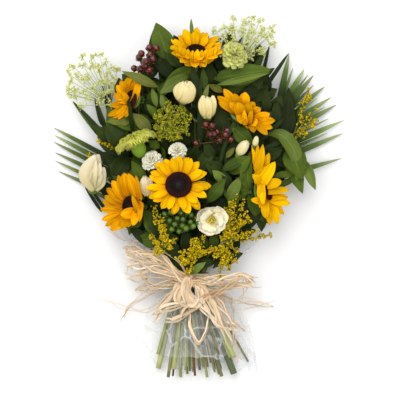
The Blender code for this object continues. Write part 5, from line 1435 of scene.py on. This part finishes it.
# Calyx of each bloom: the stem that carries it, depth under the middle, radius, length, material
CALYXES = {
    "rose_left": ("rose_left", 28, 9, 8, "leaf_pale"), "rose_mid": ("rose_mid", 17, 5, 5, "leaf_pale"),
    "lisianthus": ("lisianthus", 15, 8, 5, "leaf_pale"),
    "carnation_left": ("carnation_left", 27, 12.5, 25, "lime_calyx"),
    "carnation_top": ("carnation_top", 21, 6, 12, "leaf_pale"),
    "rose_upper_a": ("rose_upper", 18, 7, 5, "leaf_pale"), "rose_upper_b": ("rose_upper", 19, 6, 5, "leaf_pale"),
    "lisianthus_bud_a": ("lisianthus_spray", 14, 4, 5, "leaf_pale"),
    "lisianthus_bud_b": ("lisianthus_spray", 10, 3, 4, "leaf_pale"),
    "spray_carnation_a": ("spray_carnation", 18, 4.5, 8, "leaf_pale"),
    "spray_carnation_b": ("spray_carnation", 18, 4.5, 8, "leaf_pale"),
}


def bloom_stems():
    cups, twigs = {}, {}
    for bloom, (stem, depth, radius, tall, material) in CALYXES.items():
        cup = cups.setdefault((stem, material), Batch())
        foot = calyx_rows(cup, bloom, depth, radius, tall)
        root = paths[stem][-1].lerp(paths[stem][-2], 0.06)
        route = through([root, (root + foot) / 2 - UP * 2, foot], 5)
        twigs.setdefault(stem, Batch()).tube(route, [1.7] * len(route), 8)
    for (stem, material), batch in cups.items():
        piece(stem + "_calyx", batch, material, [stem + "_stem"], thick=0.4)
    for stem, batch in twigs.items():
        piece(stem + "_twigs", batch, "stem", [stem + "_stem"])
        stem_piece(stem, "stem", [stem + "_stem"])


# Sprays

def ball_rows(batch, middle, axis, radius, long=1.1, sides=14, rings=9):
    to_place = local(middle, axis)
    rows = []
    for r in range(rings + 1):
        turn = math.pi * r / rings
        out = radius * max(math.sin(turn), 0.03)
        rise = -radius * long * math.cos(turn)
        if r == rings:
            rise += radius * 0.12
        rows.append([to_place(polar(out, 2 * math.pi * i / sides, rise)) for i in range(sides)])
    batch.grid(rows, closed=True)


def berry_pieces(name):
    rng = random.Random(name)
    green = name.endswith("green")
    fruit, leafy_bits, twigs = Batch(), Batch(), Batch()
    top = paths[name][-1]
    middles = [Vector(middle) for middle in BERRIES[name]] + [seen(*middle) for middle in BERRIES_SEEN[name]]
    for middle in middles:
        axis = (middle - top).normalized() + UP * 0.4
        radius = BERRY_RADIUS * (rng.uniform(0.74, 0.94) if green else rng.uniform(0.98, 1.12))
        ball_rows(fruit, middle, axis, radius, long=1.12)
        bend = (top + middle) / 2 + Vector((rng.uniform(-2, 2), rng.uniform(-2, 2), -2))
        route = through([top, bend, middle], 4)
        twigs.tube(route, [1.0] * len(route), 6)
        to_place = local(middle, axis)
        for i in range(5):
            outward = polar(1, 2 * math.pi * i / 5, 0)
            route = through([outward * 1.2 - UP * radius * 1.1, outward * radius * 0.95 - UP * radius * 0.75,
                             outward * radius * 1.25 - UP * radius * 0.15], 3)
            rows = blade_rows(route, lambda t: 2.1 * math.sin(math.pi * min(0.25 + 0.75 * t, 0.98)), 4, cup=0.2)
            leafy_bits.grid([[to_place(point) for point in row] for row in rows])
    slot = "berry_green" if green else "berry_red"
    piece(name + "_berries", fruit, slot, [name])
    piece(name + "_sepals", leafy_bits, "leaf_pale", [name], thick=0.3)
    piece(name + "_twigs", twigs, "stem" if green else "woody", [name])
    stem_piece(name, "woody", [name])


FLORET_FACES = [(0, 1, 4), (1, 2, 4), (2, 3, 4), (3, 0, 4), (1, 0, 5), (2, 1, 5), (3, 2, 5), (0, 3, 5)]


def floret(batch, middle, radius, rng):
    """A tiny floret: a closed bud of eight faces, turned at random."""
    spin = Matrix.Rotation(rng.uniform(0, 3), 3, Vector((rng.uniform(-1, 1), rng.uniform(-1, 1), 1)).normalized())
    corners = ((1, 0, 0), (0, 1, 0), (-1, 0, 0), (0, -1, 0), (0, 0, 1.25), (0, 0, -1.25))
    batch.solid([middle + spin @ Vector(corner) * radius for corner in corners], FLORET_FACES, v=rng.random())


def plume_pieces(name):
    rng = random.Random(name + "_fine")
    florets, twigs = Batch(), Batch()
    top = paths[name][-1]
    twigs_of = [(top, Vector(tip)) for tip in PLUMES[name]] + [(top, seen(*tip)) for tip in TWIGS_SEEN[name]]
    if name in ("goldenrod_left", "goldenrod_right"):
        chosen = SPRIGS[:3] if name.endswith("left") else SPRIGS[3:]
        twigs_of += [(seen(*root), seen(*tip)) for root, tip in chosen]
    clumps = (0, 1, 1, 2) if name == "goldenrod_right" else (1, 1, 2, 2)
    for start, tip in twigs_of:
        route = arched(start, tip, 3, 14)
        twigs.tube(route, [1.0 - 0.05 * i for i in range(15)], 6)
        length = (tip - start).length
        for i in range(4, 15):
            if length * (1 - i / 14) > 48:
                continue
            direction = tangents(route)[i]
            for _ in range(rng.choice(clumps)):
                reach = (1 - 0.4 * i / 14) * rng.uniform(3, 8.5)
                way = Vector((rng.uniform(-1, 1), rng.uniform(-1, 1), rng.uniform(-0.5, 0.8))).normalized()
                way = (way + direction * 0.8).normalized()
                end = route[i] + way * reach
                twigs.tube([route[i], end], [0.45, 0.3], 4)
                for _ in range(rng.choice((3, 5, 7))):
                    spread = Vector((rng.gauss(0, 1.2), rng.gauss(0, 1.2), rng.gauss(0, 1.0)))
                    floret(florets, end + spread, rng.uniform(0.9, 1.8), rng)
    piece(name + "_florets", florets, "goldenrod", [name])
    piece(name + "_twigs", twigs, "stem", [name])
    stem_piece(name, "stem", [name])


def froth_pieces(name):
    middle, half, heads = FROTH[name]
    rng = random.Random(name)
    dense = name == "ladys_mantle"
    grow = 1.15 if dense else 1.04
    clusters = 44 if dense else 34
    spots = []
    for i in range(clusters):
        spread = math.sqrt((i + 0.5) / clusters)
        angle = i * 2.39996
        spots.append(Vector(middle) + Vector((
            half[0] * grow * spread * math.cos(angle) + rng.uniform(-4, 4),
            half[1] * grow * spread * math.sin(angle) + rng.uniform(-4, 4),
            half[2] * (1 - spread * spread) * rng.uniform(0.3, 1.2) + rng.uniform(-3, 3),
        )))
    florets, twigs = Batch(), Batch()
    top = paths[name][-1]
    for spot in spots:
        route = through([top, top.lerp(spot, 0.5) - UP * 2, spot], 3)
        twigs.tube(route, [0.6 - 0.04 * i for i in range(len(route))], 4)
        for _ in range(rng.choice((4, 6)) if dense else 9):
            way = Vector((rng.gauss(0, 1), rng.gauss(0, 1), abs(rng.gauss(0.3, 0.5)))).normalized()
            end = spot + way * rng.uniform(3, 7)
            twigs.tube([spot, end], [0.35, 0.25], 3)
            for _ in range(9 if dense else 7):
                jitter = Vector((rng.gauss(0, 1.4), rng.gauss(0, 1.4), rng.gauss(0, 0.9)))
                floret(florets, end + jitter, rng.uniform(0.8, 1.4), rng)
    florets.points = [Vector((p.x, min(p.y, 308), p.z)) for p in florets.points]
    piece(name + "_florets", florets, "froth" if dense else "froth_pale", [name])
    piece(name + "_twigs", twigs, "fine_stalk", [name])
    stem_piece(name, "stem", [name])


# Raffia and film

def strip(batch, route, half_width, rng):
    """A raffia strip: narrow, folded lengthwise, and twisting a little."""
    start_up = rng.uniform(-0.7, 0.7)
    route = [point + Vector((noise.noise(point * 0.05 + Vector((start_up * 9, 0, 0))),
                             noise.noise(point * 0.05 + Vector((0, start_up * 9, 7))), 0)) * 3.0
             for point in route]
    rows = blade_rows(
        route, lambda t: half_width * (0.75 + 0.25 * math.sin(9 * t + start_up * 5)) * (1 - t**14 * 0.8), 7,
        cup=rng.uniform(-0.3, 0.3), pleats=3, pleat=0.15, twist=rng.uniform(-1.1, 1.1),
        up=(UP + Vector((start_up, 0, 0))).normalized())
    batch.grid([[Vector((point.x, point.y, max(point.z, 0.8))) for point in row] for row in rows])


def raffia_pieces():
    rng = random.Random(11)
    batch = Batch()
    knot = seen(189, 281, 68)
    for guide, count, (near, mid, far), half in FANS:
        for copy in range(count):
            bent = [knot + Vector((rng.uniform(-4, 4), rng.uniform(-3, 3), rng.uniform(-4, 1)))]
            last = len(guide) - 1
            for i, (u, v, z) in enumerate(guide):
                stray = near if i == 0 else (far if i == last else mid)
                bent.append(seen(u + rng.gauss(0, stray), v + rng.gauss(0, stray), z + rng.uniform(-7, 2)))
            if guide[0][0] > 207 or copy % 3 == 2 and (Vector(guide[0][:2]) - Vector((189, 281))).length > 14:
                bent = bent[1:]
            strip(batch, through(bent, 7), half * rng.uniform(0.75, 1.6), rng)
    piece("raffia_bow_strips", batch, "raffia", ["raffia_bow"], thick=0.25)
    knot_batch = Batch()
    for turn in range(9):
        angle = turn * 0.35 - 1.3
        loop = []
        for i in range(17):
            a = 2 * math.pi * i / 16
            loop.append(knot + Vector((12 * math.cos(a) * math.cos(angle), 8 * math.cos(a) * math.sin(angle) + turn - 4,
                                       5 * math.sin(a) - 2)))
        strip(knot_batch, loop, 1.9, rng)
    piece("raffia_bow_knot", knot_batch, "raffia", ["raffia_bow"], thick=0.25)


def band_piece():
    """Turns of raffia wound round the stems, side by side, in the place of the band."""
    half_width, height = tie_size
    rng = random.Random(21)
    batch = Batch()
    for turn in range(13):
        y = TIE.y + (turn / 12 - 0.5) * (BAND_WIDTH - 3.4)
        out = BAND_THICK - rng.uniform(0.35, 0.9)
        around = hoop(half_width + out, height + 2 * out, BAND_CORNER + out, 3)
        phase = rng.uniform(0, 6)
        rows = []
        for i, p in enumerate(around + around[:1]):
            middle = Vector((TIE.x + p.x, y + 0.6 * math.sin(phase + 4 * math.pi * i / len(around)),
                             max(p.y + BAND_THICK - out, 0.4)))
            rows.append([middle + Vector((0, s * 1.5, 0.25 * (1 - abs(s)))) for s in (-1, -0.5, 0, 0.5, 1)])
        batch.grid(rows)
    piece("raffia_band_turns", batch, "raffia", ["raffia_band"], thick=0.3)


def film_over_stems():
    """The film's loose front: it lies crumpled over the stems below the bow."""
    routes = [through(paths[name], 6) for name in paths]
    rows = []
    for r in range(25):
        t = r / 24
        y = TIE.y - 24 - 108 * t
        crest = max(point.z for route in routes for point in route if abs(point.y - y) < 9)
        lean = FAN_LEAN * (TIE.y - y) / (TIE.y - CUT_Y)
        row = []
        for c in range(31):
            s = 2 * c / 30 - 1
            spot = Vector((TIE.x + lean + s * (40 + 26 * t), y + 9 * noise.noise(Vector((s * 3, t * 2, 5))), 0))
            fold = noise.noise(spot * 0.05) * 9 + abs(noise.noise(spot * 0.12 + UP * 3)) * 6
            spot.z = max((crest + 8) * (1 - 0.72 * s * s) + fold, 2)
            row.append(spot)
        rows.append(row)
    batch = Batch()
    batch.grid(rows)
    return batch


def film_piece():
    half_width, height = tie_size
    inner = hoop(half_width - GAP - FILM_THICK / 2, height - GAP * 2 - FILM_THICK, BAND_CORNER - GAP, 6)
    column = inner[6:-6]
    rows = []
    for first, after in zip(WRAP, WRAP[1:]):
        steps = 1 if first[1] is None and after[1] is None else 10
        for k in range(steps):
            rows.append(film_row(column, first, after, k / steps, half_width, height))
    rows.append(film_row(column, WRAP[-1], WRAP[-1], 0, half_width, height))
    batch = Batch()
    batch.grid(rows)
    wide = max(sum((after - first).length for first, after in zip(row, row[1:])) for row in rows) * MM
    long = max(sum((after - first).length for first, after in zip(column, column[1:])) for column in zip(*rows)) * MM
    made = piece("cellophane_film", batch, "film", ["cellophane_wrap"])
    piece("cellophane_front", film_over_stems(), "film", ["cellophane_wrap"])
    return made


def film_point(p, station, half_width, height):
    y, flat, spread, rise, point = station
    across = p.x / half_width
    level = p.y / height
    if flat is None:
        return Vector((TIE.x + p.x, y, BAND_THICK + GAP + FILM_THICK / 2 + p.y))
    side = 1 if across > 0 else -1
    lean = FAN_LEAN * max((TIE.y - y) / (TIE.y - CUT_Y), 0)
    return Vector((TIE.x + lean + across * flat + side * level * spread, y + point * abs(across),
                   FILM_THICK / 2 + 0.1 + level * rise))


def film_row(column, first, after, share, half_width, height):
    row = []
    for p in column:
        spot = film_point(p, first, half_width, height).lerp(film_point(p, after, half_width, height), share)
        if first[1] is not None:
            crinkle = noise.noise(spot * 0.045) * 4.0 + noise.noise(spot * 0.11) * 2.0
            spot.z = max(spot.z + abs(crinkle) * 0.8 * min(1.0, abs(spot.y - TIE.y) / 30), 0.4)
        row.append(spot)
    return row


# The sheaf

slots, half_width, top = nest()
paths = lay_stems(slots)
tie_size = (half_width + GAP * 3 + FILM_THICK, top - STEM_GAP + GAP - BAND_THICK)

for name in SUNFLOWERS:
    sunflower_pieces(name)
for name in ROSES:
    rose_pieces(name)
for name in CARNATIONS:
    carnation_pieces(name)
bloom_stems()
leaf_pieces()
for name in LEAVES:
    if name.startswith("greens"):
        stem_piece(name, "stem", [name])
palm_pieces()
for name in BERRIES:
    berry_pieces(name)
for name in PLUMES:
    plume_pieces(name)
for name in FROTH:
    froth_pieces(name)
raffia_pieces()
band_piece()
film_piece()


# Stage, light and camera

def stage():
    bpy.ops.mesh.primitive_grid_add(x_subdivisions=2, y_subdivisions=2, size=8, location=(0, 0, -0.0002))
    floor = bpy.context.object
    floor.name = "floor"
    plain = bpy.data.materials.new("floor_paper")
    plain.use_nodes = True
    shader = plain.node_tree.nodes["Principled BSDF"]
    grain = add(plain.node_tree, "TexNoise", {"Scale": 8.0, "Detail": 4.0})
    tint = ramp(plain.node_tree, (grain, 0), ((0.0, (0.90, 0.90, 0.90)), (1.0, (0.94, 0.94, 0.94))))
    plain.node_tree.links.new(tint.outputs[0], shader.inputs["Base Color"])
    shader.inputs["Roughness"].default_value = 0.9
    floor.data.materials.append(plain)


def light(name, place, size, energy):
    data = bpy.data.lights.new(name, "AREA")
    data.energy = energy
    data.size = size
    lamp = bpy.data.objects.new(name, data)
    bpy.context.scene.collection.objects.link(lamp)
    lamp.location = place
    lamp.rotation_euler = (-Vector(place)).to_track_quat("-Z", "Y").to_euler()


stage()
light("key", (-0.8, 1.2, 2.6), 3.0, 74)
light("fill", (1.4, -0.8, 2.4), 2.0, 18)
world = bpy.data.worlds.new("studio")
world.use_nodes = True
world.node_tree.nodes["Background"].inputs["Color"].default_value = (1, 1, 1, 1)
world.node_tree.nodes["Background"].inputs["Strength"].default_value = 0.62
bpy.context.scene.world = world
bpy.context.scene.view_settings.view_transform = "Standard"

FIELD = 0.66
LENS = 200
BLOOM_HEIGHT = 0.08
camera_data = bpy.data.cameras.new("camera")
camera_data.lens = LENS
camera_data.sensor_width = 36
camera = bpy.data.objects.new("camera", camera_data)
camera.location = (SHIFT.x * MM, SHIFT.y * MM, FIELD * LENS / 36 + BLOOM_HEIGHT)
camera.rotation_euler = (0, 0, 0)
bpy.context.scene.collection.objects.link(camera)
bpy.context.scene.camera = camera
